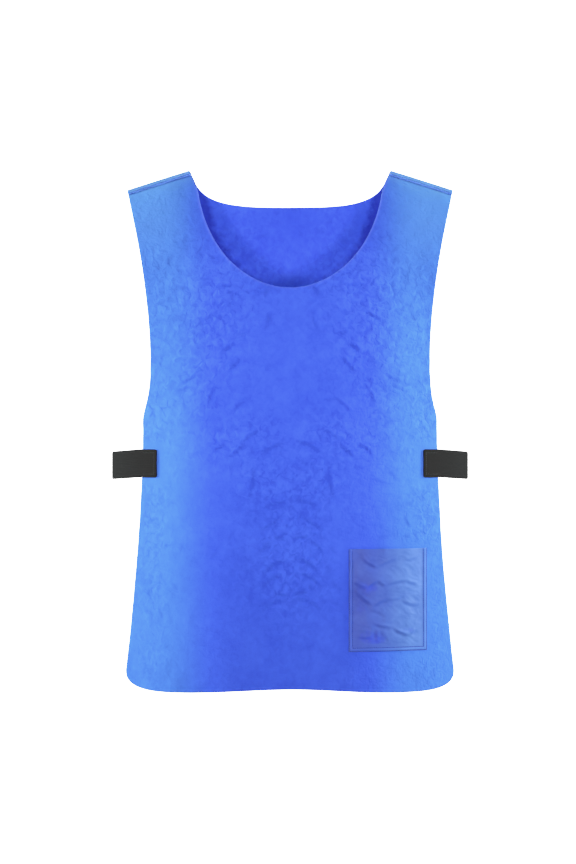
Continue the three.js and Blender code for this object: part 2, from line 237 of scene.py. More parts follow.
def along_at_depth(x, depth):
    """The length along the cloth at which it lies so far below the shoulder's neck point."""
    return along_at(depth + shoulder_line(x))


def stand_out(panel, x, along):
    """How far a panel stands out from the shoulder's top, forwards or backwards."""
    down = drop_at(along) / VEST_LENGTH
    chest = CHEST_DEPTH[panel]
    arch = ARCH_DEPTH * np.sin(np.minimum(along / ARCH_RISE, math.pi / 2))
    sweep = SIDE_SWEEP * station_value("sweep", down)
    out = arch + chest * station_value(panel, down) - sweep * np.abs(x / CHEST_HALF_WIDTH) ** SWEEP_POWER
    for fold in FOLDS:
        if fold["panel"] == panel:
            across = (x / HEM_HALF_WIDTH - fold["across"]) / fold["spread"]
            grown = smooth((down - fold["start"]) / (1 - fold["start"]))
            out = out + chest * fold["out"] * grown * np.exp(-across * across)
    return out


def face_point(panel, x, along):
    """A point on a panel's inner face."""
    front = -stand_out("front", x, np.abs(along))
    y = front if panel == "front" else np.where(along < 0, front, stand_out("back", x, np.abs(along)))
    return np.stack([x + 0 * y, y, -depth_at(x, along)], axis=-1)


def cloth_frame(panel, x, along):
    """Points on a panel's inner face, and the directions square to it, away from the wearer."""
    x, along = np.broadcast_arrays(np.asarray(x, float), np.asarray(along, float))
    across = face_point(panel, x + SLOPE_STEP, along) - face_point(panel, x - SLOPE_STEP, along)
    down = face_point(panel, x, along + SLOPE_STEP) - face_point(panel, x, along - SLOPE_STEP)
    outward = np.cross(down, across) * (1 if panel == "front" else -1)
    outward /= np.linalg.norm(outward, axis=-1, keepdims=True)
    return face_point(panel, x, along), outward


def cloth_point(panel, x, along, lift):
    """A point lifted off a panel's inner face, square to it."""
    points, outward = cloth_frame(panel, x, along)
    return points + outward * np.asarray(lift, float)[..., None]


# The outline, as places on the cloth.


def half_width(depth):
    """Half the panels' width: the shoulder and armhole, then the side, which flares to the hem."""
    up = np.maximum(ARMHOLE_NARROWEST - depth, 0) / (ARMHOLE_NARROWEST - SHOULDER_DROP)
    below = np.maximum(depth - ARMHOLE_NARROWEST, 0) / (ARMHOLE_DEPTH - ARMHOLE_NARROWEST)
    down = np.maximum(depth - ARMHOLE_DEPTH, 0) / (VEST_LENGTH - ARMHOLE_DEPTH)
    armhole = mix(ARMHOLE_HALF_WIDTH, SHOULDER_HALF_WIDTH, up**ARMHOLE_POWER)
    side = mix(0, CHEST_HALF_WIDTH - ARMHOLE_HALF_WIDTH, smooth(below**2))
    return armhole + side + (HEM_HALF_WIDTH - CHEST_HALF_WIDTH) * down**SIDE_POWER


def neck_flare(depth):
    """How far the neck opens out near the shoulder."""
    return NECK_FLARE * np.clip(1 - depth / NECK_FLARE_DEPTH, 0, 1) ** 2


def edge_place(width_at, along, guess):
    """Places at given lengths along the cloth where an edge runs, with x found in a few rounds."""
    along = np.asarray(along, float)
    x = np.full(along.shape, float(guess))
    for _ in range(EDGE_ROUNDS):
        x = width_at(np.maximum(depth_at(x, along), 0))
    return np.stack([x, along], axis=-1)


def neck_place(neck, along):
    """Where a neckline runs at given lengths along the cloth."""
    depth, power = neck

    def width_at(at):
        return NECK_HALF_WIDTH * (1 - np.clip(at / depth, 0, 1) ** power) ** (1 / power) + neck_flare(at)

    return edge_place(width_at, along, NECK_HALF_WIDTH)


def armhole_place(along):
    """Where the armhole's edge runs at given lengths along the cloth."""
    return edge_place(half_width, along, SHOULDER_HALF_WIDTH)


def neck_edge(neck, start):
    """A neck's edge from a length along the cloth down to its lowest point at the centre."""
    depth, power = neck
    turn = np.linspace(0, math.pi / 2, EDGE_SAMPLES + 1)[1:]
    at = depth * np.sin(turn) ** (2 / power)
    x = NECK_HALF_WIDTH * np.cos(turn) ** (2 / power) + neck_flare(at)
    x[-1] = 0
    places = np.stack([x, along_at_depth(x, at)], axis=-1)
    return np.concatenate([neck_place(neck, [start]), places[places[:, 1] > start + SLOPE_STEP]])


def corner_edge(start, end):
    """Part of the hem's rounded corner, between two turns: 0 is at the side, a quarter turn at the hem."""
    turn = np.linspace(start, end, EDGE_SAMPLES + 1)
    up = 1 - np.clip(np.sin(turn), 0, 1) ** (2 / HEM_CORNER_POWER)
    across = 1 - np.clip(np.cos(turn), 0, 1) ** (2 / HEM_CORNER_POWER)
    depth = VEST_LENGTH - HEM_CORNER_UP * up
    x = half_width(depth) - HEM_CORNER_ACROSS * across
    return np.stack([x, along_at_depth(x, depth)], axis=-1)


def side_edge(start_depth):
    """The armhole and side from a depth down to the hem's corner."""
    depth = np.linspace(start_depth, VEST_LENGTH - HEM_CORNER_UP, EDGE_SAMPLES + 1)
    x = half_width(depth)
    return np.stack([x, along_at_depth(x, depth)], axis=-1)


def hem_edge():
    """Half the hem, from the centre to the middle of its rounded corner."""
    low = half_width(VEST_LENGTH) - HEM_CORNER_ACROSS
    x = np.linspace(0, low, EDGE_SAMPLES + 1)
    depth = VEST_LENGTH - HEM_RISE * (1 - (x / low) ** 2) ** 2
    places = np.stack([x, along_at_depth(x, depth)], axis=-1)
    return np.concatenate([places, corner_edge(math.pi / 2, math.pi / 4)[1:]])


def even_steps(places, steps, ease=1):
    """An edge again as so many steps of even length. Over 1, ease makes the first steps the shortest."""
    lengths = np.concatenate([[0], np.cumsum(np.linalg.norm(np.diff(places, axis=0), axis=1))])
    at = lengths[-1] * (np.arange(steps + 1) / steps) ** ease
    return np.stack([np.interp(at, lengths, places[:, k]) for k in (0, 1)], axis=-1)


def panel_rows(panel):
    """The two ends of each row of half a panel: at the neck or centre, and at the armhole or side."""
    spec = PANELS[panel]
    top, yoke_top, steps = spec["shoulder"]
    over = np.linspace(top, yoke_top, steps + 1)
    front_neck = PANELS["front"]["neck"]
    inner = np.where((over < 0)[:, None], neck_place(front_neck, over), neck_place(spec["neck"], over))
    turn_depth = spec["turn"] * ARMHOLE_NARROWEST
    turn_along = along_at_depth(half_width(turn_depth), turn_depth)
    neck = neck_edge(spec["neck"], yoke_top)
    foot = hem_edge()[0]
    corner_top = np.array([0, foot[1] - HEM_CORNER_UP])
    armhole = armhole_place(np.linspace(yoke_top, turn_along, EDGE_SAMPLES + 1))
    stretches = [
        (neck, armhole, spec["yoke_rows"], YOKE_EASE),
        (np.array([neck[-1], corner_top]), side_edge(turn_depth), spec["body_rows"], 1),
        (np.array([corner_top, foot]), corner_edge(0, math.pi / 4), CORNER_ROWS, 1),
    ]
    inners, outers = [inner], [armhole_place(over)]
    for inner_edge, outer_edge, rows, ease in stretches:
        inners.append(even_steps(inner_edge, rows, ease)[1:])
        outers.append(even_steps(outer_edge, rows, ease)[1:])
    return np.concatenate(inners), np.concatenate(outers)


def panel_sheet(panel):
    """A whole panel's places on the cloth, and its four-sided cells: a half, and its mirror image."""
    columns = PANELS[panel]["columns"]
    inner, outer = panel_rows(panel)
    rows = len(inner)
    share = np.linspace(0, 1, columns + 1)
    hem = even_steps(hem_edge(), columns)
    bow = hem - mix(hem[0], hem[-1], share[:, None])
    ease_in = (np.arange(rows) / (rows - 1)) ** HEM_POWER
    half = mix(inner[:, None], outer[:, None], share[None, :, None]) + ease_in[:, None, None] * bow[None]
    count = rows * (columns + 1)
    right = np.arange(count).reshape(rows, columns + 1)
    left = right + count
    left[:, 0] = np.where(inner[:, 0] == 0, right[:, 0], left[:, 0])
    places = np.concatenate([half.reshape(-1, 2), (half * [-1, 1]).reshape(-1, 2)])

    def quads(index, flip):
        corners = [index[:-1, :-1], index[1:, :-1], index[1:, 1:], index[:-1, 1:]]
        return np.stack(corners[::-1] if flip else corners, axis=-1).reshape(-1, 4)

    cells = np.concatenate([quads(right, False), quads(left, True)])
    used, cells = np.unique(cells, return_inverse=True)
    return places[used], cells.reshape(-1, 4)


# Walls and meshes.

# The rim of a cut edge: how far through the wall each of its lines lies, and how far out, as a share of
# RIM_BULGE.
RIM_STEPS = [(0.18, 0.72), (0.5, 1.0), (0.82, 0.72)]
RIM_BULGE = 0.35


def new_piece(name, points, faces, materials, face_material=None, uv=None):
    """A smooth-shaded mesh object from points in millimetres. uv gives each point's place on the cloth."""
    mesh = bpy.data.meshes.new(name)
    mesh.from_pydata((np.asarray(points) * MM).tolist(), [], np.asarray(faces).tolist())
    for material in materials:
        mesh.materials.append(material)
    mesh.polygons.foreach_set("use_smooth", np.ones(len(mesh.polygons), bool))
    if face_material is not None:
        mesh.polygons.foreach_set("material_index", np.asarray(face_material, np.int32))
    if uv is not None:
        layer = mesh.uv_layers.new(name="cloth")
        corner = np.zeros(len(mesh.loops), np.int32)
        mesh.loops.foreach_get("vertex_index", corner)
        layer.data.foreach_set("uv", (np.asarray(uv)[corner] * MM).astype(np.float32).ravel())
    mesh.update()
    piece = bpy.data.objects.new(name, mesh)
    bpy.context.collection.objects.link(piece)
    return piece


def free_edges(cells):
    """The edges that only one cell has, each in that cell's own direction."""
    edges = np.concatenate([cells[:, [k, (k + 1) % 4]] for k in range(4)])
    keys = np.sort(edges, axis=1)
    _, first, counts = np.unique(keys, axis=0, return_index=True, return_counts=True)
    return edges[first[counts == 1]]


def closed_wall(name, cells, inner, outer, uv, materials):
    """A wall between two skins, with a rounded rim of its own material round the free edges."""
    count = len(inner)
    free = free_edges(cells)
    facing = outer - inner
    facing /= np.linalg.norm(facing, axis=1, keepdims=True)
    away = np.zeros_like(inner)
    for end in (0, 1):
        np.add.at(away, free[:, end], np.cross(outer[free[:, 1]] - outer[free[:, 0]], facing[free[:, end]]))
    length = np.linalg.norm(away, axis=1, keepdims=True)
    away = np.divide(away, length, out=np.zeros_like(away), where=length > 0)
    rim = np.unique(free)
    slot = np.full(count, -1)
    slot[rim] = np.arange(len(rim))
    points, uvs = [inner, outer], [uv, uv]
    ladder = [free]
    for k, (through, out) in enumerate(RIM_STEPS):
        points.append(mix(inner[rim], outer[rim], through) + away[rim] * RIM_BULGE * out)
        uvs.append(uv[rim])
        ladder.append(2 * count + k * len(rim) + slot[free])
    ladder.append(free + count)
    rim_faces = [
        np.stack([low[:, 0], low[:, 1], high[:, 1], high[:, 0]], axis=-1)
        for low, high in zip(ladder[:-1], ladder[1:])
    ]
    faces = np.concatenate([cells[:, ::-1], cells + count, *rim_faces])
    material = np.zeros(len(faces), np.int32)
    material[2 * len(cells) :] = 1
    return new_piece(name, np.concatenate(points), faces, materials, material, np.concatenate(uvs))


def cell_materials(piece, first, numbers):
    """Give a run of a piece's faces other ones of its materials."""
    index = np.zeros(len(piece.data.polygons), np.int32)
    piece.data.polygons.foreach_get("material_index", index)
    index[first : first + len(numbers)] = numbers
    piece.data.polygons.foreach_set("material_index", index)


def skin_mark(piece, name, values):
    """Store a value for each place of a piece's two skins, for its material to read."""
    mark = piece.data.attributes.new(name, "FLOAT", "POINT")
    amounts = np.zeros(len(piece.data.vertices), np.float32)
    amounts[: 2 * len(values)] = np.tile(values, 2)
    mark.data.foreach_set("value", amounts)


def grid_cells(columns, rows):
    """The four-sided cells of a grid of places, row after row."""
    index = np.arange((columns + 1) * (rows + 1)).reshape(rows + 1, columns + 1)
    return np.stack([index[:-1, :-1], index[1:, :-1], index[1:, 1:], index[:-1, 1:]], axis=-1).reshape(-1, 4)


# Relief: heights in millimetres, and shares from 0 to 1, for places on the cloth.

# crumple() bends its facets by WARP of their size, along bumps WARP_SIZE times as wide. A crease is a ridge
# and, on its lower side, a valley: its depth is a share of the ridge's height, and its place and width are
# in widths of the ridge.
WARP = 0.35
WARP_SIZE = 1.7
FACET_SLOPE = 2.4
CREASE_WIDTH = 1.9
CREASE_HEIGHT = 2.4
VALLEY_DEPTH = 0.8
VALLEY_OFF = 1.8
VALLEY_WIDTH = 1.3
# How steeply a crease fades towards its two ends.
CREASE_TAPER = 1.35
# How wide the painted shadow along a crease's valley is, and how far off its line it lies.
CREASE_SHADOW_WIDTH = 2.3


def rumple(x, along, size, seed):
    """Smooth random heights from about -1 to 1, with bumps about as wide as size."""
    return np.array([noise.noise(Vector((u, v, seed))) for u, v in zip(x / size, along / size)])


def crumple(x, along, size, seed):
    """Random facets that meet in soft ridges, as in leather that was wrung out and dried."""
    u = x + WARP * size * rumple(x, along, WARP_SIZE * size, seed + 5)
    v = along + WARP * size * rumple(x, along, WARP_SIZE * size, seed + 9)
    return 1 - FACET_SLOPE * np.abs(rumple(u, v, size, seed))


def off_crease(x, along, row):
    """How far off a crease's bent line each place is, and a window that fades out at its two ends."""
    turn = math.radians(row["turn"])
    dx, dy = x - row["x"], along - row["along"]
    s = dx * math.cos(turn) + dy * math.sin(turn)
    t = dy * math.cos(turn) - dx * math.sin(turn)
    half = row["length"] / 2
    return t - row["bend"] * (1 - (s / half) ** 2), smooth(CREASE_TAPER * (1 - np.abs(s) / half))


def crease(x, along, row, width=CREASE_WIDTH):
    """One soft crease along a bent line, with a shallow valley on its lower side."""
    t, window = off_crease(x, along, row)
    valley = np.exp(-(((t - VALLEY_OFF * width) / (VALLEY_WIDTH * width)) ** 2))
    return CREASE_HEIGHT * row["height"] * window * (np.exp(-((t / width) ** 2)) - VALLEY_DEPTH * valley)


def crease_shadow(x, along, row, width=CREASE_SHADOW_WIDTH):
    """A painted shadow along the valley of a crease: how dark the cloth is made there."""
    t, window = off_crease(x, along, row)
    return row["height"] * window * np.exp(-(((t - width) / width) ** 2))


# The creases that show, on both sides of the centre: places on the cloth, the angle that each makes with the
# horizontal, how far its middle bows downwards, and its height.
CREASES = [
    {"x": 24, "along": 412, "length": 44, "turn": 20, "bend": -4, "height": 0.5},
    {"x": 55, "along": 452, "length": 46, "turn": 80, "bend": 3, "height": 0.42},
    {"x": 74, "along": 404, "length": 34, "turn": 34, "bend": 3, "height": 0.55},
    {"x": 92, "along": 398, "length": 26, "turn": 18, "bend": -3, "height": 0.5},
    {"x": 52, "along": 392, "length": 30, "turn": 26, "bend": -3, "height": 0.5},
    {"x": 20, "along": 482, "length": 36, "turn": 10, "bend": -3, "height": 0.5},
    {"x": 30, "along": 503, "length": 38, "turn": 26, "bend": 3, "height": 0.5},
    {"x": 14, "along": 522, "length": 24, "turn": -12, "bend": 2, "height": 0.55},
    {"x": 34, "along": 534, "length": 26, "turn": 38, "bend": -2, "height": 0.42},
    {"x": 21, "along": 560, "length": 40, "turn": 27, "bend": -5, "height": 0.58},
    {"x": 27, "along": 578, "length": 38, "turn": 31, "bend": -4, "height": 0.5},
    {"x": 13, "along": 592, "length": 22, "turn": -16, "bend": 2, "height": 0.6},
    {"x": 24, "along": 610, "length": 42, "turn": 22, "bend": -6, "height": 0.45},
    {"x": 66, "along": 350, "length": 30, "turn": 34, "bend": -2, "height": 0.42},
    {"x": 80, "along": 276, "length": 30, "turn": 24, "bend": -3, "height": 0.5},
    {"x": 62, "along": 258, "length": 26, "turn": -20, "bend": 3, "height": 0.45},
    {"x": 74, "along": 296, "length": 26, "turn": 40, "bend": 2, "height": 0.45},
    {"x": 130, "along": 296, "length": 30, "turn": 12, "bend": 3, "height": 0.4},
    {"x": 134, "along": 310, "length": 24, "turn": 0, "bend": -2, "height": 0.35},
    {"x": 98, "along": 330, "length": 36, "turn": 62, "bend": -6, "height": 0.3},
    {"x": 84, "along": 198, "length": 34, "turn": -18, "bend": -4, "height": 0.4},
    {"x": 104, "along": 226, "length": 30, "turn": 14, "bend": 2, "height": 0.4},
    {"x": 38, "along": 252, "length": 30, "turn": 82, "bend": 6, "height": 0.4},
    {"x": 30, "along": 214, "length": 26, "turn": 60, "bend": -4, "height": 0.4},
]


# Small creases at random places all over each panel: how many, and the bounds of what is drawn for each.
SCATTERED_COUNT = 150
SCATTERED_HEIGHT = 0.26
SCATTERED = {
    "x": (-185, 185),
    "along": (90, 640),
    "length": (9, 24),
    "turn": (-75, 75),
    "bend": (-3, 3),
    "height": (0.4, 1.0),
}
# Where the mirror image of a charted crease lies off its true place.
MIRROR_SHIFT = (3, 2)


def scattered_creases(seed):
    """Many short creases at random places and angles."""
    draw = random.Random(seed)
    for _ in range(SCATTERED_COUNT):
        row = {key: draw.uniform(*bounds) for key, bounds in SCATTERED.items()}
        row["height"] *= SCATTERED_HEIGHT
        yield row


def charted_creases():
    """The creases of the table, each with its mirror image."""
    for row in CREASES:
        yield row
        yield {
            **row,
            "x": -row["x"] + MIRROR_SHIFT[0],
            "turn": -row["turn"],
            "along": row["along"] + MIRROR_SHIFT[1],
        }


def patch_mask(x, along, centre, half_size, fade):
    """0 on a rectangle of the cloth, and 1 outside it past a fade."""
    outside = np.maximum(np.abs(x - centre[0]) - half_size[0], np.abs(along - centre[1]) - half_size[1])
    return smooth(outside / fade)


# How far past what is sewn on the cloth still lies flat, and over what length its crumple then comes back.
STRAP_MARGIN = (4, 3)
STRAP_FADE = 12
POCKET_MARGIN = 1
POCKET_FADE = 14
SEAM_MARGIN = 1
SEAM_FADE = 14
BACK_FLAT_TO = -8
BACK_FADE = 30
POCKET_MIDDLE = VEST_LENGTH - POCKET_ABOVE_HEM - POCKET_HEIGHT / 2


def sewn_down(panel, x, along):
    """0 where something is sewn onto the cloth, so that it lies flat there, and 1 elsewhere."""
    depth = depth_at(x, along)
    if panel == "front":
        mask = smooth((np.abs(along) - SEAM_FORWARD - SEAM_MARGIN) / SEAM_FADE)
        pocket_half = (POCKET_WIDTH / 2 + POCKET_MARGIN, POCKET_HEIGHT / 2 + POCKET_MARGIN)
        mask = mask * patch_mask(x, depth, (POCKET_CENTRE, POCKET_MIDDLE), pocket_half, POCKET_FADE)
    else:
        mask = smooth((along - BACK_FLAT_TO) / BACK_FADE)
    strap_half = (STRAP_OVERLAP + STRAP_MARGIN[0], STRAP_WIDTH / 2 + STRAP_MARGIN[1])
    return mask * patch_mask(np.abs(x), depth, (half_width(STRAP_DEPTH), STRAP_DEPTH), strap_half, STRAP_FADE)


# Where the cloth is crumpled most, alike on both sides of the centre: the middle of each patch on the
# cloth, how far it reaches across and along, and how strong it is.
CRUMPLED_PATCHES = [
    {"x": 100, "along": 222, "reach": (58, 88), "strength": 1.0},
    {"x": 34, "along": 180, "reach": (46, 40), "strength": 0.6},
    {"x": 66, "along": 394, "reach": (48, 26), "strength": 0.9},
    {"x": 118, "along": 320, "reach": (44, 60), "strength": 0.55},
    {"x": 30, "along": 452, "reach": (40, 34), "strength": 0.8},
    {"x": 0, "along": 545, "reach": (44, 82), "strength": 0.85},
    {"x": 172, "along": 400, "reach": (20, 280), "strength": 0.8},
    {"x": 60, "along": 110, "reach": (20, 70), "strength": 0.5},
]


# How crumpled the cloth is between the patches.
CALM = 0.22
# How far round its middle a crease is worked out: a share of its length, and a little more.
NEAR_SHARE = 0.75
NEAR_BEYOND = 8

# The layers of the relief, each with its form, its height, and its size across. A lively one shows only
# where the cloth is crumpled.
LAYERS = [
    {"form": rumple, "height": 0.9, "size": 95, "lively": False},
    {"form": rumple, "height": 0.5, "size": 44, "lively": False},
    {"form": crumple, "height": 0.5, "size": 30, "lively": True},
    {"form": crumple, "height": 0.35, "size": 15, "lively": True},
    {"form": rumple, "height": 0.3, "size": 9, "lively": True},
]


def crumpled(panel, x, along):
    """How crumpled the cloth is: most in the patches, and nowhere that it is sewn down."""
    smoothness = np.ones_like(x)
    for row in CRUMPLED_PATCHES:
        across = (np.abs(x) - row["x"]) / row["reach"][0]
        down = (along - row["along"]) / row["reach"][1]
        smoothness = smoothness * (1 - row["strength"] * np.exp(-(across**2) - down**2))
    return (1 - (1 - CALM) * smoothness) * sewn_down(panel, x, along)


def along_creases(panel, x, along, form):
    """The sum of a form over all of a panel's creases. Only the places near a crease are worked out."""
    rows = list(scattered_creases(PANELS[panel]["seed"]))
    if panel == "front":
        rows += charted_creases()
    total = np.zeros_like(x)
    for row in rows:
        near = np.hypot(x - row["x"], along - row["along"]) < NEAR_SHARE * row["length"] + NEAR_BEYOND
        total[near] += form(x[near], along[near], row)
    return total


def cloth_relief(panel, x, along):
    """The crumple of a panel that was wrung out, dried and hung up again."""
    lively = crumpled(panel, x, along)
    relief = along_creases(panel, x, along, crease)
    for number, layer in enumerate(LAYERS):
        heights = layer["height"] * layer["form"](x, along, layer["size"], PANELS[panel]["seed"] + number)
        relief += heights * lively if layer["lively"] else heights
    return relief * sewn_down(panel, x, along)


# Node trees and materials.


class Nodes:
    """A short way to build a node tree. make() adds a node, and sets or links each of its inputs."""

    def __init__(self, tree):
        self.tree = tree
        tree.nodes.clear()

    def make(self, kind, inputs=None, **settings):
        node = self.tree.nodes.new(kind)
        for key, value in settings.items():
            setattr(node, key, value)
        for key, value in (inputs or {}).items():
            if isinstance(value, bpy.types.NodeSocket):
                self.tree.links.new(value, node.inputs[key])
            else:
                node.inputs[key].default_value = value
        return node

    def place(self, kind="Object"):
        return self.make("ShaderNodeTexCoord").outputs[kind]

    def attribute(self, name):
        return self.make("ShaderNodeAttribute", attribute_name=name).outputs["Fac"]

    def math(self, operation, *values):
        return self.make("ShaderNodeMath", dict(enumerate(values)), operation=operation).outputs[0]

    def vector(self, operation, *values):
        return self.make("ShaderNodeVectorMath", dict(enumerate(values)), operation=operation).outputs[0]

    def length(self, vector):
        return self.make("ShaderNodeVectorMath", {0: vector}, operation="LENGTH").outputs["Value"]

    def noise(self, place, scale, detail=2, roughness=0.5, distortion=0, **settings):
        inputs = {"Vector": place, "Scale": scale, "Detail": detail, "Roughness": roughness}
        inputs["Distortion"] = distortion
        return self.make("ShaderNodeTexNoise", inputs, **settings).outputs["Fac"]

    def between(self, value, low, high, to=(0, 1), kind="SMOOTHSTEP"):
        """How far a value is from low to high, as a share or in other bounds, and held at the ends."""
        inputs = {"Value": value, "From Min": low, "From Max": high, "To Min": to[0], "To Max": to[1]}
        return self.make("ShaderNodeMapRange", inputs, interpolation_type=kind).outputs[0]

    def mix(self, factor, a, b):
        return self.make("ShaderNodeMix", {0: factor, 6: a, 7: b}, data_type="RGBA").outputs[2]

    def shades(self, share, pair, ends=(0, 1)):
        """A blend from a darker shade to a paler one."""
        node = self.make("ShaderNodeValToRGB", {"Fac": share})
        for element, position, colour in zip(node.color_ramp.elements, ends, pair):
            element.position = position
            element.color = (*colour, 1)
        return node.outputs["Color"]

    def relief(self, *layers):
        """Bumps laid over each other, each given as its height, its strength and its depth in metres."""
        under = {}
        for height, strength, depth in layers:
            inputs = {"Height": height, "Strength": strength, "Distance": depth, **under}
            under = {"Normal": self.make("ShaderNodeBump", inputs).outputs[0]}
        return under["Normal"]

    def surface(self, inputs):
        """End the tree in a surface with these inputs."""
        shader = self.make("ShaderNodeBsdfPrincipled", inputs)
        self.make("ShaderNodeOutputMaterial", {"Surface": shader.outputs[0]})


def new_material(name):
    """A material, and its still empty node tree."""
    material = bpy.data.materials.new(name)
    material.use_nodes = True
    return material, Nodes(material.node_tree)


# A painted highlight makes the cloth paler at its sides: from how far off the centre that starts, and where
# it is full.
PAINTED_SIDE_LIGHT_FROM = 92
PAINTED_SIDE_LIGHT_TO = 156
# A painted highlight makes it palest on the shoulders: where that starts and where it is full, off the centre
# and upwards.
SHOULDER_HIGHLIGHT_ACROSS = (118, 176)
SHOULDER_HIGHLIGHT_UP = (-150, -45)
# A painted shadow darkens the inside beyond an ellipse that the neck opening shows: its half sizes, its
# centre's height, and how its uneven edge runs.
NECK_VIEW_ACROSS = 124
NECK_VIEW_DOWN = 178
NECK_VIEW_TOP = 15
NECK_VIEW_UNEVEN = 0.16
NECK_VIEW_FADE = (0.94, 1.03)
# The painted shadow at the bottom of a fold and under the back panel's lap: its colour, and how strongly it
# is mixed in.
FOLD_SHADOW_COLOUR = (0.02, 0.05, 0.46)
FOLD_SHADOW_STRENGTH = 0.6
# The thin paler line along the front's neckline.
NECKLINE_SHADE = (0.105, 0.155, 0.86)
# What the cloth's tone is made of, beside its patches, and the tones of its darker and its paler shade. The
# crease and fold parts are painted shade: they darken the tone along thin creases and fold valleys.
MOTTLE_TONE = 0.8
NAP_TONE = 0.35
CREASE_SHADE_TONE = -0.22
PUCKER_TONE = 3.0
FOLD_SHADOW_TONE = -0.5
CLOTH_TONES = (0.66, 1.49)
# Two nets of fine creases: the number of meshes to a metre, a crease's width as a share of a mesh, and a
# shift that sets the nets apart. CREASE_BEND is how far the creases are bent, in metres. They show only in
# parts, where a noise of PARTS_SCALE times their net's scale is within CREASE_PARTS or above.
CREASE_NETS = [(72, 0.3, 0), (120, 0.34, 7)]
CREASE_BEND = 0.012
CREASE_PARTS = (0.54, 0.72)
PARTS_SCALE = 0.9


def painted_side_light(n, place):
    """0 down the middle of the vest, and 1 at its sides, where a painted highlight pales the colour."""
    across = n.math("ABSOLUTE", n.make("ShaderNodeSeparateXYZ", {"Vector": place}).outputs["X"])
    return n.between(across, PAINTED_SIDE_LIGHT_FROM * MM, PAINTED_SIDE_LIGHT_TO * MM)


def shoulder_highlight(n, place):
    """0 below the shoulders and near the neck, and near 1 at the shoulders' outer ends, where a painted
    highlight is laid.
    """
    parts = n.make("ShaderNodeSeparateXYZ", {"Vector": place}).outputs
    across = n.between(n.math("ABSOLUTE", parts["X"]), *(limit * MM for limit in SHOULDER_HIGHLIGHT_ACROSS))
    up = n.between(parts["Z"], *(limit * MM for limit in SHOULDER_HIGHLIGHT_UP))
    return n.math("MULTIPLY", across, up)


def painted_inside_shadow(n, place):
    """0 on the part of the back's inside that the neck opening shows from the front, and 1 beyond it, where a
    painted shadow darkens it.
    """
    centred = n.vector("SUBTRACT", place, (0, 0, NECK_VIEW_TOP * MM))
    scale = (1 / (NECK_VIEW_ACROSS * MM), 0, 1 / (NECK_VIEW_DOWN * MM))
    out = n.length(n.vector("MULTIPLY", centred, scale))
    uneven = n.noise(place, scale=70, detail=3, roughness=0.6)
    return n.between(n.math("MULTIPLY_ADD", uneven, NECK_VIEW_UNEVEN, out), *NECK_VIEW_FADE)


def crease_lines(n, place, lively):
    """Short thin creases in every direction where the cloth is crumpled: 1 on a crease, 0 off it."""
    bend = n.make("ShaderNodeTexNoise", {"Vector": place, "Scale": 70, "Detail": 2, "Roughness": 0.6})
    bent = n.vector("MULTIPLY_ADD", bend.outputs["Color"], (CREASE_BEND,) * 3, place)
    lines = []
    for scale, width, shift in CREASE_NETS:
        moved = n.vector("ADD", bent, (shift,) * 3)
        net = n.make("ShaderNodeTexVoronoi", {"Vector": moved, "Scale": scale}, feature="DISTANCE_TO_EDGE")
        line = n.between(net.outputs["Distance"], 0, width, (1, 0))
        shown = n.between(n.noise(moved, scale=scale * PARTS_SCALE, detail=1), *CREASE_PARTS)
        lines.append(n.math("MULTIPLY", line, shown))
    return n.math("MULTIPLY", n.math("MAXIMUM", *lines), lively)


def cloth_material(name, near_shades, far_shades, spread, shoulder_highlight_colour=None):
    """Chamois-like cloth with a nap, mottling and creases. spread says where the far shades take over."""
    material, n = new_material(name)
    place = n.place()
    mottle = n.noise(place, scale=46, detail=5, roughness=0.62)
    nap = n.noise(place, scale=620, detail=3, roughness=0.7)
    lively = n.attribute("crumpled")
    shaded_creases = crease_lines(n, place, lively)
    painted_fold_shadow = n.attribute("shaded_creases")
    pucker = n.noise(place, scale=135, distortion=0.8)
    puckered = n.math("MULTIPLY", n.math("SUBTRACT", pucker, 0.5), lively)
    tone = n.noise(place, scale=9)
    parts = [
        (mottle, MOTTLE_TONE),
        (nap, NAP_TONE),
        (shaded_creases, CREASE_SHADE_TONE),
        (puckered, PUCKER_TONE),
        (painted_fold_shadow, FOLD_SHADOW_TONE),
    ]
    for part, weight in parts:
        tone = n.math("MULTIPLY_ADD", part, weight, tone)
    share = n.between(tone, *CLOTH_TONES, kind="LINEAR")
    colour = n.mix(spread(n, place), n.shades(share, near_shades), n.shades(share, far_shades))
    # A painted highlight pales the shoulders.
    if shoulder_highlight_colour:
        colour = n.mix(shoulder_highlight(n, place), colour, (*shoulder_highlight_colour, 1))
    colour = n.mix(n.math("MULTIPLY", painted_fold_shadow, FOLD_SHADOW_STRENGTH), colour, (*FOLD_SHADOW_COLOUR, 1))
    colour = n.mix(n.attribute("neckline"), colour, (*NECKLINE_SHADE, 1))
    normal = n.relief(
        (mottle, 0.6, 0.003), (puckered, 0.9, 0.0026), (shaded_creases, 0.7, -0.0006), (nap, 0.45, 0.00035)
    )
    n.surface(
        {
            "Base Color": colour,
            "Roughness": 0.88,
            "Specular IOR Level": 0.16,
            "Sheen Weight": 0.3,
            "Sheen Roughness": 0.5,
            "Sheen Tint": (0.42, 0.9, 1.0, 1),
            "Normal": normal,
        }
    )
    return material


# The elastic's weave, in metres from one rib or pick to the next, and how high a pick is beside a rib.
RIB_PITCH = 0.0016
PICK_PITCH = 0.0011
PICK_SHARE = 0.6
# How much the weave adds to the elastic's tone, its darker and paler black, and the tones of these two.
WEAVE_TONE = 0.12
ELASTIC_BLACKS = ((0.009, 0.0072, 0.0072), (0.018, 0.0145, 0.0147))
ELASTIC_TONES = (0.2, 0.8)


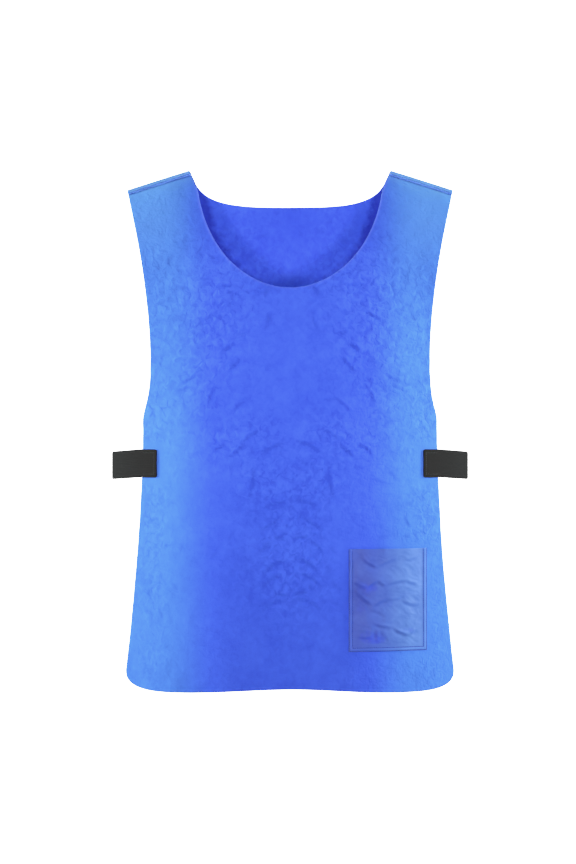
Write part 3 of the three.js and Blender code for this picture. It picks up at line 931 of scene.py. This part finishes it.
def elastic_material():
    """Black woven elastic: lengthwise ribs crossed by fine picks."""
    material, n = new_material("black_elastic")
    place = n.place("UV")
    parts = n.make("ShaderNodeSeparateXYZ", {"Vector": place}).outputs
    ribs = n.math("SINE", n.math("MULTIPLY", parts["Y"], 2 * math.pi / RIB_PITCH))
    picks = n.math("SINE", n.math("MULTIPLY", parts["X"], 2 * math.pi / PICK_PITCH))
    weave = n.math("MULTIPLY_ADD", picks, PICK_SHARE, ribs)
    fuzz = n.noise(place, scale=900, detail=3, roughness=0.7)
    worn = n.math("MULTIPLY_ADD", weave, WEAVE_TONE, fuzz)
    colour = n.shades(worn, ELASTIC_BLACKS, ELASTIC_TONES)
    normal = n.relief((weave, 0.5, 0.00012), (fuzz, 0.4, 0.0001))
    n.surface({"Base Color": colour, "Roughness": 0.8, "Specular IOR Level": 0.12, "Normal": normal})
    return material


# The blue that shows where the film clings to the cloth, from how much it clings, and how much of it shows
# there.
SEEN_THROUGH = (0.034, 0.064, 0.58)
CLING_RANGE = (0.12, 0.55)
CLING_SHOWN = (0, 0.85)
# The tones of the film's darker and its paler shade, what the painted shadow in a fold takes off its tone,
# and how many times wider than high its ripples are.
FILM_TONES = (0.28, 0.66)
FILM_FOLD_SHADOW_TONE = -0.3
RIPPLE_FLATNESS = 2.4


def film_material(name, near_shades, far_shades, gloss=0.3):
    """Frosted, finely crinkled film, paler towards the vest's side as a painted highlight, with the cloth's
    blue showing through.
    """
    material, n = new_material(name)
    place = n.place()
    cloud = n.noise(place, scale=40, detail=5, roughness=0.6)
    grain = n.noise(place, scale=420, detail=2, roughness=0.6)
    flattened = n.vector("MULTIPLY", place, (1, 1, RIPPLE_FLATNESS))
    ripple = n.noise(
        flattened, scale=42, detail=3, roughness=0.55, distortion=0.9, noise_type="RIDGED_MULTIFRACTAL"
    )
    tone = n.math("MULTIPLY_ADD", n.attribute("shaded_creases"), FILM_FOLD_SHADOW_TONE, cloud)
    share = n.between(tone, *FILM_TONES, kind="LINEAR")
    colour = n.mix(painted_side_light(n, place), n.shades(share, near_shades), n.shades(share, far_shades))
    patchy = n.noise(place, scale=95, detail=3, roughness=0.6)
    cling = n.math("MULTIPLY", n.attribute("clinging"), patchy)
    colour = n.mix(n.between(cling, *CLING_RANGE, CLING_SHOWN), colour, (*SEEN_THROUGH, 1))
    normal = n.relief((cloud, 0.5, 0.0011), (ripple, 0.5, 0.0009), (grain, 0.3, 0.00015))
    n.surface({"Base Color": colour, "Roughness": 0.55, "Specular IOR Level": gloss, "Normal": normal})
    return material


def thread_material(name, colour):
    """Twisted thread of one colour."""
    material, n = new_material(name)
    fibres = n.noise(n.place(), scale=1600)
    normal = n.relief((fibres, 0.5, 0.0001))
    n.surface({"Base Color": (*colour, 1), "Roughness": 0.6, "Sheen Weight": 0.2, "Normal": normal})
    return material


# Each finish's darker and paler shade down the vest's middle, and the same towards its sides, where they are
# paler as a painted highlight.
CLOTH_MIDDLE = ((0.036, 0.076, 0.67), (0.056, 0.118, 0.83))
CLOTH_SIDES_PAINTED_LIGHT = ((0.052, 0.14, 0.62), (0.073, 0.196, 0.79))
# The colour of the shoulders' painted highlight.
CLOTH_SHOULDER_HIGHLIGHT = (0.094, 0.248, 0.79)
EDGE_MIDDLE = ((0.08, 0.16, 0.78), (0.12, 0.22, 0.88))
EDGE_SIDES_PAINTED_LIGHT = ((0.12, 0.25, 0.8), (0.16, 0.32, 0.9))
FILM_MIDDLE = ((0.032, 0.06, 0.4), (0.05, 0.094, 0.49))
FILM_SIDES_PAINTED_LIGHT = ((0.06, 0.128, 0.47), (0.088, 0.176, 0.55))
HEM_MIDDLE = ((0.04, 0.078, 0.48), (0.056, 0.108, 0.56))
HEM_SIDES_PAINTED_LIGHT = ((0.068, 0.15, 0.54), (0.092, 0.19, 0.62))
SEAM_MIDDLE = ((0.014, 0.032, 0.27), (0.02, 0.044, 0.33))
SEAM_SIDES_PAINTED_LIGHT = ((0.018, 0.046, 0.3), (0.026, 0.062, 0.36))
# The inside's shades where the neck opening shows it, and beyond it, where they are a painted shadow.
INSIDE_SEEN = ((0.05, 0.096, 0.84), (0.07, 0.138, 0.97))
INSIDE_PAINTED_SHADOW = ((0.017, 0.028, 0.46), (0.031, 0.05, 0.58))

CLOTH = {
    "front": cloth_material("front_chamois", CLOTH_MIDDLE, CLOTH_SIDES_PAINTED_LIGHT, painted_side_light, CLOTH_SHOULDER_HIGHLIGHT),
    "back": cloth_material("back_chamois", CLOTH_MIDDLE, CLOTH_SIDES_PAINTED_LIGHT, painted_side_light),
}
INSIDE = cloth_material("inside_of_chamois", INSIDE_SEEN, INSIDE_PAINTED_SHADOW, painted_inside_shadow)
CUT_EDGE = cloth_material("cut_edge", EDGE_MIDDLE, EDGE_SIDES_PAINTED_LIGHT, painted_side_light)
ELASTIC = elastic_material()
FILM = film_material("pocket_film", FILM_MIDDLE, FILM_SIDES_PAINTED_LIGHT)
FILM_HEM = film_material("pocket_hem", HEM_MIDDLE, HEM_SIDES_PAINTED_LIGHT, 0.25)
# The darker seam lines: partly film pressed onto the cloth, partly painted shadow.
FILM_SEAM_SHADOW = film_material("pocket_seam_shadow", SEAM_MIDDLE, SEAM_SIDES_PAINTED_LIGHT, 0.1)
BLUE_THREAD = thread_material("blue_thread", (0.026, 0.06, 0.38))
BLACK_THREAD = thread_material("black_thread", (0.02, 0.02, 0.02))


# The panels.

# The painted shadow line on the front just below the back panel's lap: how far below it, and how wide.
LAP_SHADOW_OFF = 1.2
LAP_SHADOW_WIDTH = 1.8
# The paler line along the front's neckline: its width, how strong it is at the top, and what it has lost at
# its lowest point.
NECKLINE_WIDTH = 1.6
NECKLINE_STRENGTH = 0.9
NECKLINE_FADES = 0.5


def beside_neck(panel, x, along):
    """How strong the paler line is: most at the neckline, less at its lowest point, and 0 a little off it."""
    depth, power = PANELS[panel]["neck"]
    at = np.maximum(depth_at(x, along), 0)
    across = np.maximum(np.abs(x) - neck_flare(at), 0) / NECK_HALF_WIDTH
    down = at / depth
    slope = power * np.hypot(across ** (power - 1) / NECK_HALF_WIDTH, down ** (power - 1) / depth)
    beyond = (across**power + down**power - 1) / slope
    return np.exp(-((beyond / NECKLINE_WIDTH) ** 2)) * (NECKLINE_STRENGTH - NECKLINE_FADES * down**4)


def make_panel(panel):
    """A panel of cloth. The back one comes over each shoulder and laps over the front one's top edge."""
    places, cells = panel_sheet(panel)
    x, along = places[:, 0], places[:, 1]
    relief = cloth_relief(panel, x, along)
    onto = 0
    if panel == "back":
        cells = cells[:, ::-1]
        onto = (CLOTH_WALL + SEAM_GAP) * smooth(-2 * along / (SEAM_FORWARD - SEAM_LAP))
    inner = cloth_point(panel, x, along, relief + onto)
    outer = cloth_point(panel, x, along, relief + onto + CLOTH_WALL)
    piece = closed_wall(f"{panel}_cloth", cells, inner, outer, places, [CLOTH[panel], CUT_EDGE, INSIDE])
    cell_materials(piece, 0, np.full(len(cells), 2))
    skin_mark(piece, "crumpled", crumpled(panel, x, along))
    # A painted shadow along the creases' valleys, and on the front just below the back panel's lap.
    painted_fold_shadow = along_creases(panel, x, along, crease_shadow)
    if panel == "front":
        painted_fold_shadow += np.exp(-(((along - SEAM_FORWARD - LAP_SHADOW_OFF) / LAP_SHADOW_WIDTH) ** 2))
        skin_mark(piece, "neckline", beside_neck(panel, x, along))
    skin_mark(piece, "shaded_creases", np.clip(painted_fold_shadow, 0, 1))
    return piece


# The straps. Between the panels a strap is one curve, bent by two handles. At the curve's middle it has gone
# HANDLE_SHARE of the way out to them.

SEWN_ON = CLOTH_WALL + SEAM_GAP
HANDLE_SHARE = 0.75
STRAP_CORNER = 1.8
SEWN_STEPS = 16
FREE_STEPS = 90
STRAP_RIBS = 16
RIB_STEPS = 4
RIB_HEIGHT = 0.16
SELVEDGE = 1.6
SELVEDGE_THIN = 0.35


def strap_line(side, depth, lift):
    """One lengthwise line of a strap: sewn on the front, free round the side, and sewn on the back."""
    edge = half_width(STRAP_DEPTH) + CLOTH_WALL
    from_edge = max(0, STRAP_WIDTH / 2 - abs(depth - STRAP_DEPTH))
    rounding = STRAP_CORNER - math.sqrt(max(0, STRAP_CORNER**2 - max(0, STRAP_CORNER - from_edge) ** 2))

    def sewn(panel, inward):
        x = side * (edge - np.asarray(inward, float))
        return cloth_point(panel, x, along_at_depth(x, depth), np.full(x.shape, lift))

    def handle(panel):
        start, near = sewn(panel, [0, SLOPE_STEP])
        outward = start - near
        reach = (STRAP_REACH - CLOTH_WALL + lift) / HANDLE_SHARE
        return start + outward * reach / abs(outward[0]) + [0, 0, -STRAP_SAG / HANDLE_SHARE]

    laid = np.linspace(STRAP_OVERLAP + CLOTH_WALL - rounding, 0, SEWN_STEPS)
    ends = [sewn("front", [0])[0], handle("front"), handle("back"), sewn("back", [0])[0]]
    t = np.linspace(0, 1, FREE_STEPS)[1:-1, None]
    shares = [(1 - t) ** 3, 3 * t * (1 - t) ** 2, 3 * t**2 * (1 - t), t**3]
    free = sum(share * end for share, end in zip(shares, ends))
    return np.concatenate([sewn("front", laid), free, sewn("back", laid[::-1])])


def make_strap(name, side):
    """A woven elastic band with raised ribs and thin firm edges."""
    rows = STRAP_RIBS * RIB_STEPS
    skins = []
    for face in (0, 1):
        lines = []
        for i in range(rows + 1):
            share = i / rows
            from_edge = STRAP_WIDTH * min(share, 1 - share)
            rib = RIB_HEIGHT * math.sin(math.pi * STRAP_RIBS * share) ** 2 if from_edge > SELVEDGE else 0
            thin = SELVEDGE_THIN * (1 - min(1, from_edge / SELVEDGE)) ** 2
            lift = SEWN_ON + (STRAP_WALL - thin - RIB_HEIGHT + rib if face else thin)
            lines.append(strap_line(side, STRAP_DEPTH + STRAP_WIDTH * (share - 0.5), lift))
        skins.append(np.array(lines))
    length = np.concatenate([[0], np.cumsum(np.linalg.norm(np.diff(skins[1][rows // 2], axis=0), axis=1))])
    u, v = np.meshgrid(length, np.linspace(0, STRAP_WIDTH, rows + 1))
    cells = grid_cells(skins[0].shape[1] - 1, rows)
    if side < 0:
        cells = cells[:, ::-1]
    uv = np.stack([u.ravel(), v.ravel()], axis=-1)
    flat = [skin.reshape(-1, 3) for skin in skins]
    return closed_wall(name, cells, flat[0], flat[1], uv, [ELASTIC, ELASTIC])


# The pocket.

# The film's wrinkles: places from its lower left corner as shares of its size, the angle of each with the
# horizontal, its length, how far it bows, and its height.
WRINKLES = [
    {"across": 0.27, "up": 0.88, "length": 30, "turn": 33, "bend": 2, "height": 0.8},
    {"across": 0.5, "up": 0.87, "length": 30, "turn": -22, "bend": -2, "height": 0.7},
    {"across": 0.78, "up": 0.92, "length": 26, "turn": -14, "bend": 2, "height": 0.5},
    {"across": 0.15, "up": 0.66, "length": 23, "turn": 29, "bend": 1, "height": 1.0},
    {"across": 0.3, "up": 0.66, "length": 20, "turn": -34, "bend": -1, "height": 0.9},
    {"across": 0.42, "up": 0.675, "length": 15, "turn": 30, "bend": 1, "height": 0.7},
    {"across": 0.61, "up": 0.67, "length": 32, "turn": -12, "bend": -2, "height": 0.9},
    {"across": 0.8, "up": 0.68, "length": 18, "turn": 14, "bend": 1, "height": 0.6},
    {"across": 0.19, "up": 0.53, "length": 34, "turn": 40, "bend": 1, "height": 1.0},
    {"across": 0.39, "up": 0.48, "length": 23, "turn": -27, "bend": -1, "height": 0.8},
    {"across": 0.57, "up": 0.53, "length": 23, "turn": -8, "bend": 2, "height": 0.6},
    {"across": 0.78, "up": 0.48, "length": 27, "turn": 16, "bend": 2, "height": 0.7},
    {"across": 0.36, "up": 0.38, "length": 22, "turn": 20, "bend": -2, "height": 0.5},
    {"across": 0.43, "up": 0.26, "length": 30, "turn": 12, "bend": 1, "height": 0.8},
    {"across": 0.67, "up": 0.2, "length": 29, "turn": 22, "bend": 2, "height": 1.1},
    {"across": 0.81, "up": 0.19, "length": 12, "turn": -45, "bend": 0, "height": 1.0},
    {"across": 0.2, "up": 0.16, "length": 28, "turn": 5, "bend": 2, "height": 0.6},
    {"across": 0.37, "up": 0.15, "length": 24, "turn": 86, "bend": 1, "height": 0.5},
]

# Where the film clings to the cloth and its blue shows through: the middle of each place, how far it reaches
# across and up in millimetres, and how much it clings.
CLINGING = [
    {"across": 0.25, "up": 0.62, "reach": (13, 8), "strength": 0.9},
    {"across": 0.3, "up": 0.13, "reach": (19, 11), "strength": 1.0},
    {"across": 0.16, "up": 0.42, "reach": (12, 15), "strength": 0.5},
    {"across": 0.52, "up": 0.44, "reach": (12, 10), "strength": 0.4},
    {"across": 0.74, "up": 0.2, "reach": (14, 6), "strength": 0.5},
    {"across": 0.3, "up": 0.8, "reach": (16, 8), "strength": 0.4},
]
WRINKLE_WIDTH = 2.2
WRINKLE_HEIGHT = 0.42
WRINKLE_SHADOW_WIDTH = 1.8
# Its finer wrinkles. Their flatness is how many times wider than high their facets are.
FINE_WRINKLES = [
    {"height": 0.34, "size": 24, "flatness": 1, "seed": 7},
    {"height": 0.3, "size": 13, "flatness": 1.7, "seed": 8},
]

# The stitched hem: a ridge along its middle, and darker lines so many millimetres in from its edge, partly
# the film pressed onto the cloth along its stitching and partly painted shadow at the hem's outer edge and in
# its stitched groove.
HEM_RIDGE = 0.75
HEM_RIDGE_WIDTH = 1.1
HEM_SUNK = 0.35
SEAM_SHADOW_LINES = (0, 4)

# The slack film inside the hem: how many hem widths its slack takes to grow from a side and from the foot,
# how much of it shows, what clinging takes off, and how far from the hem its wrinkles start.
SLACK_GROWS = (5, 4)
SLACK_SHOWN = 0.75
CLING_SINKS = 0.35
LEAST_SLACK = 0.1
TIGHT_REACH = 6
HEM_STEP = 2


def pocket_place(across, down):
    """Where a place on the pocket, given as two shares of its size, lies on the front panel."""
    x = POCKET_CENTRE + POCKET_WIDTH * (across - 0.5)
    return x, along_at_depth(x, POCKET_MIDDLE + POCKET_HEIGHT * (down - 0.5))


def clinging(across, down):
    """How much the film clings to the cloth at places on the pocket."""
    free = np.ones_like(across)
    for row in CLINGING:
        off_across = (across - row["across"]) * POCKET_WIDTH / row["reach"][0]
        off_up = (1 - down - row["up"]) * POCKET_HEIGHT / row["reach"][1]
        free = free * (1 - row["strength"] * np.exp(-(off_across**2) - off_up**2))
    return 1 - free


def wrinkles(across, down):
    """The height of the film's wrinkles at places on the pocket, and the painted shadow along their folds."""
    x, along = (across - 0.5) * POCKET_WIDTH, (down - 0.5) * POCKET_HEIGHT
    height, shade = np.zeros_like(x), np.zeros_like(x)
    for row in WRINKLES:
        spot = {**row, "x": (row["across"] - 0.5) * POCKET_WIDTH, "along": (0.5 - row["up"]) * POCKET_HEIGHT}
        height += WRINKLE_HEIGHT * crease(x, along, spot, WRINKLE_WIDTH)
        shade += crease_shadow(x, along, spot, WRINKLE_SHADOW_WIDTH)
    return height, np.clip(shade, 0, 1)


def fine_wrinkles(x, along):
    """The height of the film's finer wrinkles."""
    layers = (
        row["height"] * crumple(x, along * row["flatness"], row["size"], row["seed"]) for row in FINE_WRINKLES
    )
    return sum(layers)


def make_pocket():
    """The pocket, open at the top: a raised stitched hem on three sides, and slack wrinkled film."""
    columns, rows = POCKET_WIDTH, POCKET_HEIGHT
    across, down = np.meshgrid(np.linspace(0, 1, columns + 1), np.linspace(0, 1, rows + 1))
    across, down = across.ravel(), down.ravel()
    x, along = pocket_place(across, down)
    from_side = POCKET_WIDTH * np.minimum(across, 1 - across)
    from_foot = POCKET_HEIGHT * (1 - down)
    from_hem = np.minimum(from_side, from_foot) - POCKET_HEM
    cling = clinging(across, down)
    wrinkled, wrinkle_shadow = wrinkles(across, down)
    wrinkled += fine_wrinkles(x, along)
    tight = smooth(from_hem / TIGHT_REACH)
    slack = POCKET_SLACK * (SLACK_SHOWN - CLING_SINKS * cling)
    for distance, widths in zip((from_side, from_foot), SLACK_GROWS):
        slack = slack * smooth((distance - POCKET_HEM) / (widths * POCKET_HEM))
    lift = SEWN_ON + np.maximum(slack + tight * wrinkled, LEAST_SLACK) * smooth(from_hem / HEM_STEP + 1)
    ridge = HEM_RIDGE * np.exp(-(((from_hem + POCKET_HEM / 2) / HEM_RIDGE_WIDTH) ** 2))
    inner = cloth_point("front", x, along, lift)
    outer = cloth_point("front", x, along, lift + POCKET_WALL - HEM_SUNK + ridge)
    cells = grid_cells(columns, rows)
    uv = np.stack([across * POCKET_WIDTH, (1 - down) * POCKET_HEIGHT], axis=-1)
    piece = closed_wall("pocket_film", cells, inner, outer, uv, [FILM, FILM_HEM, FILM_SEAM_SHADOW])
    skin_mark(piece, "clinging", cling * tight)
    # A painted shadow along the wrinkles' folds.
    skin_mark(piece, "shaded_creases", wrinkle_shadow)
    inward = np.floor(from_hem[cells].mean(axis=1) + POCKET_HEM)
    cell_materials(piece, len(cells), (inward < POCKET_HEM).astype(np.int32) + np.isin(inward, SEAM_SHADOW_LINES))
    return piece


front_cloth = make_panel("front")
back_cloth = make_panel("back")
strap_left = make_strap("strap_left", 1)
strap_right = make_strap("strap_right", -1)
pocket_film = make_pocket()


# Stitches. One tree lays a short thread at each step along a row, turned along it and flat on the cloth.

THREAD_SIDES = 6


def stitch_tree():
    """The tree. Its inputs are a row, the sizes of its stitches in metres, and their material."""
    tree = bpy.data.node_groups.new("stitches", "GeometryNodeTree")
    face = tree.interface
    face.new_socket("Geometry", in_out="INPUT", socket_type="NodeSocketGeometry")
    for name, value in (("Pitch", 0.003), ("Stitch Length", 0.002), ("Thread", 0.0005)):
        face.new_socket(name, in_out="INPUT", socket_type="NodeSocketFloat").default_value = value
    face.new_socket("Material", in_out="INPUT", socket_type="NodeSocketMaterial")
    face.new_socket("Geometry", in_out="OUTPUT", socket_type="NodeSocketGeometry")
    n = Nodes(tree)
    row = n.make("NodeGroupInput").outputs
    curve = n.make("GeometryNodeMeshToCurve", {"Mesh": row["Geometry"]}).outputs[0]
    spaced = {"Curve": curve, "Length": row["Pitch"]}
    steps = n.make("GeometryNodeResampleCurve", spaced, mode="LENGTH").outputs[0]
    tangent = n.make("GeometryNodeInputTangent").outputs[0]
    turned = n.make("FunctionNodeAlignRotationToVector", {"Vector": tangent}, axis="X").outputs[0]
    facing = n.make("GeometryNodeInputNamedAttribute", {"Name": "facing"}, data_type="FLOAT_VECTOR")
    flat = {"Rotation": turned, "Vector": facing.outputs[0]}
    turned = n.make("FunctionNodeAlignRotationToVector", flat, axis="Z", pivot_axis="X").outputs[0]
    ball = {"Segments": THREAD_SIDES, "Rings": THREAD_SIDES, "Radius": 0.5}
    thread = n.make("GeometryNodeMeshUVSphere", ball).outputs["Mesh"]
    size = n.make("ShaderNodeCombineXYZ", {"X": row["Stitch Length"], "Y": row["Thread"], "Z": row["Thread"]})
    laid = {"Points": steps, "Instance": thread, "Rotation": turned, "Scale": size.outputs[0]}
    stitches = n.make("GeometryNodeInstanceOnPoints", laid).outputs[0]
    stitches = n.make("GeometryNodeRealizeInstances", {"Geometry": stitches}).outputs[0]
    stitches = n.make("GeometryNodeSetShadeSmooth", {"Geometry": stitches}).outputs[0]
    dressed = {"Geometry": stitches, "Material": row["Material"]}
    n.make("NodeGroupOutput", {"Geometry": n.make("GeometryNodeSetMaterial", dressed).outputs[0]})
    return tree


STITCHES = stitch_tree()


def sew(name, rows, pitch, stitch_length, thread, material):
    """Stitches along rows. The pitch, the stitches' length and the thread's thickness are in millimetres."""
    points, facings = (np.concatenate(part) for part in zip(*rows))
    edges, first = [], 0
    for places, _ in rows:
        edges += [(first + i, first + i + 1) for i in range(len(places) - 1)]
        first += len(places)
    mesh = bpy.data.meshes.new(name)
    mesh.from_pydata((points * MM).tolist(), edges, [])
    mesh.attributes.new("facing", "FLOAT_VECTOR", "POINT").data.foreach_set("vector", facings.ravel())
    guide = bpy.data.objects.new(name + "_guide", mesh)
    bpy.context.collection.objects.link(guide)
    modifier = guide.modifiers.new("stitches", "NODES")
    modifier.node_group = STITCHES
    sockets = {s.name: s.identifier for s in STITCHES.interface.items_tree if s.in_out == "INPUT"}
    modifier[sockets["Pitch"]] = pitch * MM
    modifier[sockets["Stitch Length"]] = stitch_length * MM
    modifier[sockets["Thread"]] = thread * MM
    modifier[sockets["Material"]] = material
    evaluated = guide.evaluated_get(bpy.context.evaluated_depsgraph_get())
    piece = bpy.data.objects.new(name, bpy.data.meshes.new_from_object(evaluated))
    bpy.context.collection.objects.link(piece)
    bpy.data.objects.remove(guide)
    return piece


def cloth_row(panel, x, along, lift):
    """A row of places lifted off a panel's inner face, and the directions that the cloth faces there."""
    points, outward = cloth_frame(panel, x, along)
    return points + outward * lift, outward


def along_route(route, steps):
    """Places along each straight side of a route, given by its corners."""
    t = np.linspace(0, 1, steps)
    for start, end in zip(route[:-1], route[1:]):
        yield mix(start[0], end[0], t), mix(start[1], end[1], t)


# How high the thread lies, and how far in from the edges each row of stitches runs.
LAP_THREAD = 2 * CLOTH_WALL + SEAM_GAP + 0.05
LAP_ROWS = (1.2, SEAM_LAP - 2.5)
LAP_ENDS = 2
POCKET_THREAD = SEWN_ON + POCKET_WALL - 0.2
POCKET_ROWS = (0.6, POCKET_HEM - 0.5)
POCKET_TOP_SHARE = 0.012
STRAP_THREAD = SEWN_ON + STRAP_WALL
STRAP_ROW_NEAR = 5
STRAP_ROW_FAR = 1
STRAP_ROW_SIDE = 4
# How many places lie along each straight stretch of stitches.
LAP_PLACES = 60
POCKET_PLACES = 50
STRAP_PLACES = 24
# The stitches: from one to the next, the length of one, and the thickness of its thread.
SHOULDER_STITCH = (2.6, 2.5, 0.6)
POCKET_STITCH = (2.4, 2.3, 0.6)
STRAP_STITCH = (2.4, 1.8, 0.45)


def shoulder_rows():
    """Two rows of stitches through the lap on each shoulder."""
    for side in (1, -1):
        for inward in LAP_ROWS:
            along = np.full(LAP_PLACES, -SEAM_FORWARD + inward)
            inner = neck_place(PANELS["front"]["neck"], along[:1])[0, 0] + LAP_ENDS
            outer = armhole_place(along[:1])[0, 0] - LAP_ENDS
            yield cloth_row("back", side * np.linspace(inner, outer, LAP_PLACES), along, LAP_THREAD)


def pocket_rows():
    """Two rows of stitches round the pocket's hem, on both sides of its ridge."""
    for inward in POCKET_ROWS:
        side, foot = inward / POCKET_WIDTH, 1 - inward / POCKET_HEIGHT
        route = [(side, POCKET_TOP_SHARE), (side, foot), (1 - side, foot), (1 - side, POCKET_TOP_SHARE)]
        for across, down in along_route(route, POCKET_PLACES):
            yield cloth_row("front", *pocket_place(across, down), POCKET_THREAD)


def strap_end_rows():
    """Three rows of stitches on each sewn end of the straps."""
    edge = half_width(STRAP_DEPTH) + CLOTH_WALL
    near, far = edge - STRAP_ROW_NEAR, edge - STRAP_OVERLAP + STRAP_ROW_FAR
    top = STRAP_DEPTH - STRAP_WIDTH / 2 + STRAP_ROW_SIDE
    foot = STRAP_DEPTH + STRAP_WIDTH / 2 - STRAP_ROW_SIDE
    route = [(near, top), (far, top), (far, foot), (near, foot)]
    for side in (1, -1):
        for panel in ("front", "back"):
            for x, depth in along_route(route, STRAP_PLACES):
                yield cloth_row(panel, side * x, along_at_depth(x, depth), STRAP_THREAD)


shoulder_stitches = sew("shoulder_stitches", list(shoulder_rows()), *SHOULDER_STITCH, BLUE_THREAD)
pocket_stitches = sew("pocket_stitches", list(pocket_rows()), *POCKET_STITCH, BLUE_THREAD)
strap_stitches = sew("strap_stitches", list(strap_end_rows()), *STRAP_STITCH, BLACK_THREAD)


# What each piece stands for, and what it is.

REPLACED = {
    front_cloth: "front_panel",
    back_cloth: "back_panel",
    strap_left: "side_strap_left",
    strap_right: "side_strap_right",
    pocket_film: "pocket",
}
SLOTS = {
    "vest_cloth": [front_cloth, back_cloth, shoulder_stitches],
    "strap_elastic": [strap_left, strap_right, strap_stitches],
    "pocket_film": [pocket_film, pocket_stitches],
}
for slot, pieces in SLOTS.items():
    for piece in pieces:
        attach(piece, "root")
for piece, node in REPLACED.items():
    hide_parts(node)


# The stage: a plain pale floor, soft light from both sides, and a camera level with the middle of the vest.
# Its lengths are in metres.

FLOOR_HEIGHT = -1.42
FLOOR_RADIUS = 1.7
FLOOR_SIDES = 96
# The floor glows white towards its edge for the camera alone, so that the edge melts into the white room.
GLOW_FROM = 1.45
GLOW_TO = 2.2
GLOW = (0.55, 4)
FLOOR_LIFT = 0.05
# How bright the room is as a light on the vest, and as the camera sees it.
ROOM_LIGHT = 0.12
ROOM_SEEN = 4
EYE_LEVEL = -0.3333
CAMERA_DISTANCE = 3.4
ASIDE = -0.0026
FOCAL_PIXELS = 2632
IMAGE_HEIGHT = 864
SENSOR = 36

SIDE_LIGHT = {"to": EYE_LEVEL, "size": (0.7, 1.4), "spread": 180, "power": 73, "tint": (0.8, 1, 0.98)}
FRONT_LIGHT = {"to": -0.25, "size": (0.25, 0.25), "spread": 38, "power": 1.2, "tint": (1, 0.98, 1)}
HIGH_LIGHT = {"to": -0.3, "size": (0.9, 0.5), "spread": 42, "tint": (1, 0.98, 1)}
LIGHTS = [
    {**SIDE_LIGHT, "name": "left_side", "from": (-2.2, 0, 0.1)},
    {**SIDE_LIGHT, "name": "right_side", "from": (2.2, 0, 0.1)},
    {**FRONT_LIGHT, "name": "front_left", "from": (-0.55, -2.7, -0.38)},
    {**FRONT_LIGHT, "name": "front_right", "from": (0.55, -2.7, -0.38)},
    {**HIGH_LIGHT, "name": "high_front", "from": (0, -2.2, 1.0), "power": 0.75},
    {**HIGH_LIGHT, "name": "high_behind", "from": (0, 2.2, 1.0), "power": 3.3},
]
FILM_CURVE = [(0, 0), (0.8, 0.8), (0.95, 0.89), (1.3, 0.91), (2.2, 0.94), (4, 1.05)]


def pale_floor():
    """A round pale floor well below the hem."""
    mesh = bpy.data.meshes.new("floor")
    turns = [2 * math.pi * k / FLOOR_SIDES for k in range(FLOOR_SIDES)]
    edge = [(FLOOR_RADIUS * math.cos(t), FLOOR_RADIUS * math.sin(t), FLOOR_HEIGHT) for t in turns]
    mesh.from_pydata(edge, [], [tuple(range(FLOOR_SIDES))])
    material, n = new_material("pale_floor")
    rise = n.between(n.length(n.place()), GLOW_FROM, GLOW_TO, GLOW)
    seen = n.make("ShaderNodeLightPath").outputs["Is Camera Ray"]
    n.surface(
        {
            "Base Color": (0.72, 0.72, 0.72, 1),
            "Roughness": 0.9,
            "Emission Color": (1, 1, 1, 1),
            "Emission Strength": n.math("MULTIPLY_ADD", seen, rise, FLOOR_LIFT),
        }
    )
    mesh.materials.append(material)
    floor = bpy.data.objects.new("floor", mesh)
    bpy.context.collection.objects.link(floor)
    floor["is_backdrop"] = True


def white_room():
    """A white surround, which lights the vest less than it shows."""
    world = bpy.data.worlds.new("white_room")
    world.use_nodes = True
    n = Nodes(world.node_tree)
    seen = n.make("ShaderNodeLightPath").outputs["Is Camera Ray"]
    strength = n.between(seen, 0, 1, (ROOM_LIGHT, ROOM_SEEN), "LINEAR")
    glow = n.make("ShaderNodeBackground", {"Color": (1, 1, 1, 1), "Strength": strength})
    n.make("ShaderNodeOutputWorld", {"Surface": glow.outputs[0]})
    bpy.context.scene.world = world


def soft_light(row):
    """A soft light that faces the vest's middle plane at the height given by "to"."""
    light = bpy.data.lights.new(row["name"], "AREA")
    light.shape = "RECTANGLE"
    light.size, light.size_y = row["size"]
    light.spread = math.radians(row["spread"])
    light.energy = row["power"]
    light.color = row["tint"]
    lamp = bpy.data.objects.new(row["name"], light)
    lamp.location = row["from"]
    lamp.rotation_euler = (Vector((0, 0, row["to"])) - lamp.location).to_track_quat("-Z", "Y").to_euler()
    bpy.context.collection.objects.link(lamp)


def soft_shoulder(view_settings):
    """Bright colours roll off softly, as they do on film."""
    view_settings.use_curve_mapping = True
    mapping = view_settings.curve_mapping
    mapping.use_clip = False
    mapping.extend = "EXTRAPOLATED"
    points = mapping.curves[3].points
    while len(points) < len(FILM_CURVE):
        points.new(0.5, 0.5)
    for point, place in zip(points, FILM_CURVE):
        point.location = place
    mapping.update()


def level_camera():
    """A camera straight in front of the vest, as far off as the photo's view asks."""
    camera = bpy.data.cameras.new("camera")
    camera.sensor_width = SENSOR
    camera.lens = FOCAL_PIXELS * SENSOR / IMAGE_HEIGHT
    camera.clip_end = 100
    view = bpy.data.objects.new("camera", camera)
    view.location = (ASIDE, -CAMERA_DISTANCE, EYE_LEVEL)
    view.rotation_euler = (math.pi / 2, 0, 0)
    bpy.context.collection.objects.link(view)
    bpy.context.scene.camera = view


pale_floor()
white_room()
for row in LIGHTS:
    soft_light(row)
level_camera()
bpy.context.scene.view_settings.view_transform = "Standard"
soft_shoulder(bpy.context.scene.view_settings)

{name: [list(c) for c in box] for name, box in (("cad", CAD_BOX), ("visual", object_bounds()))}
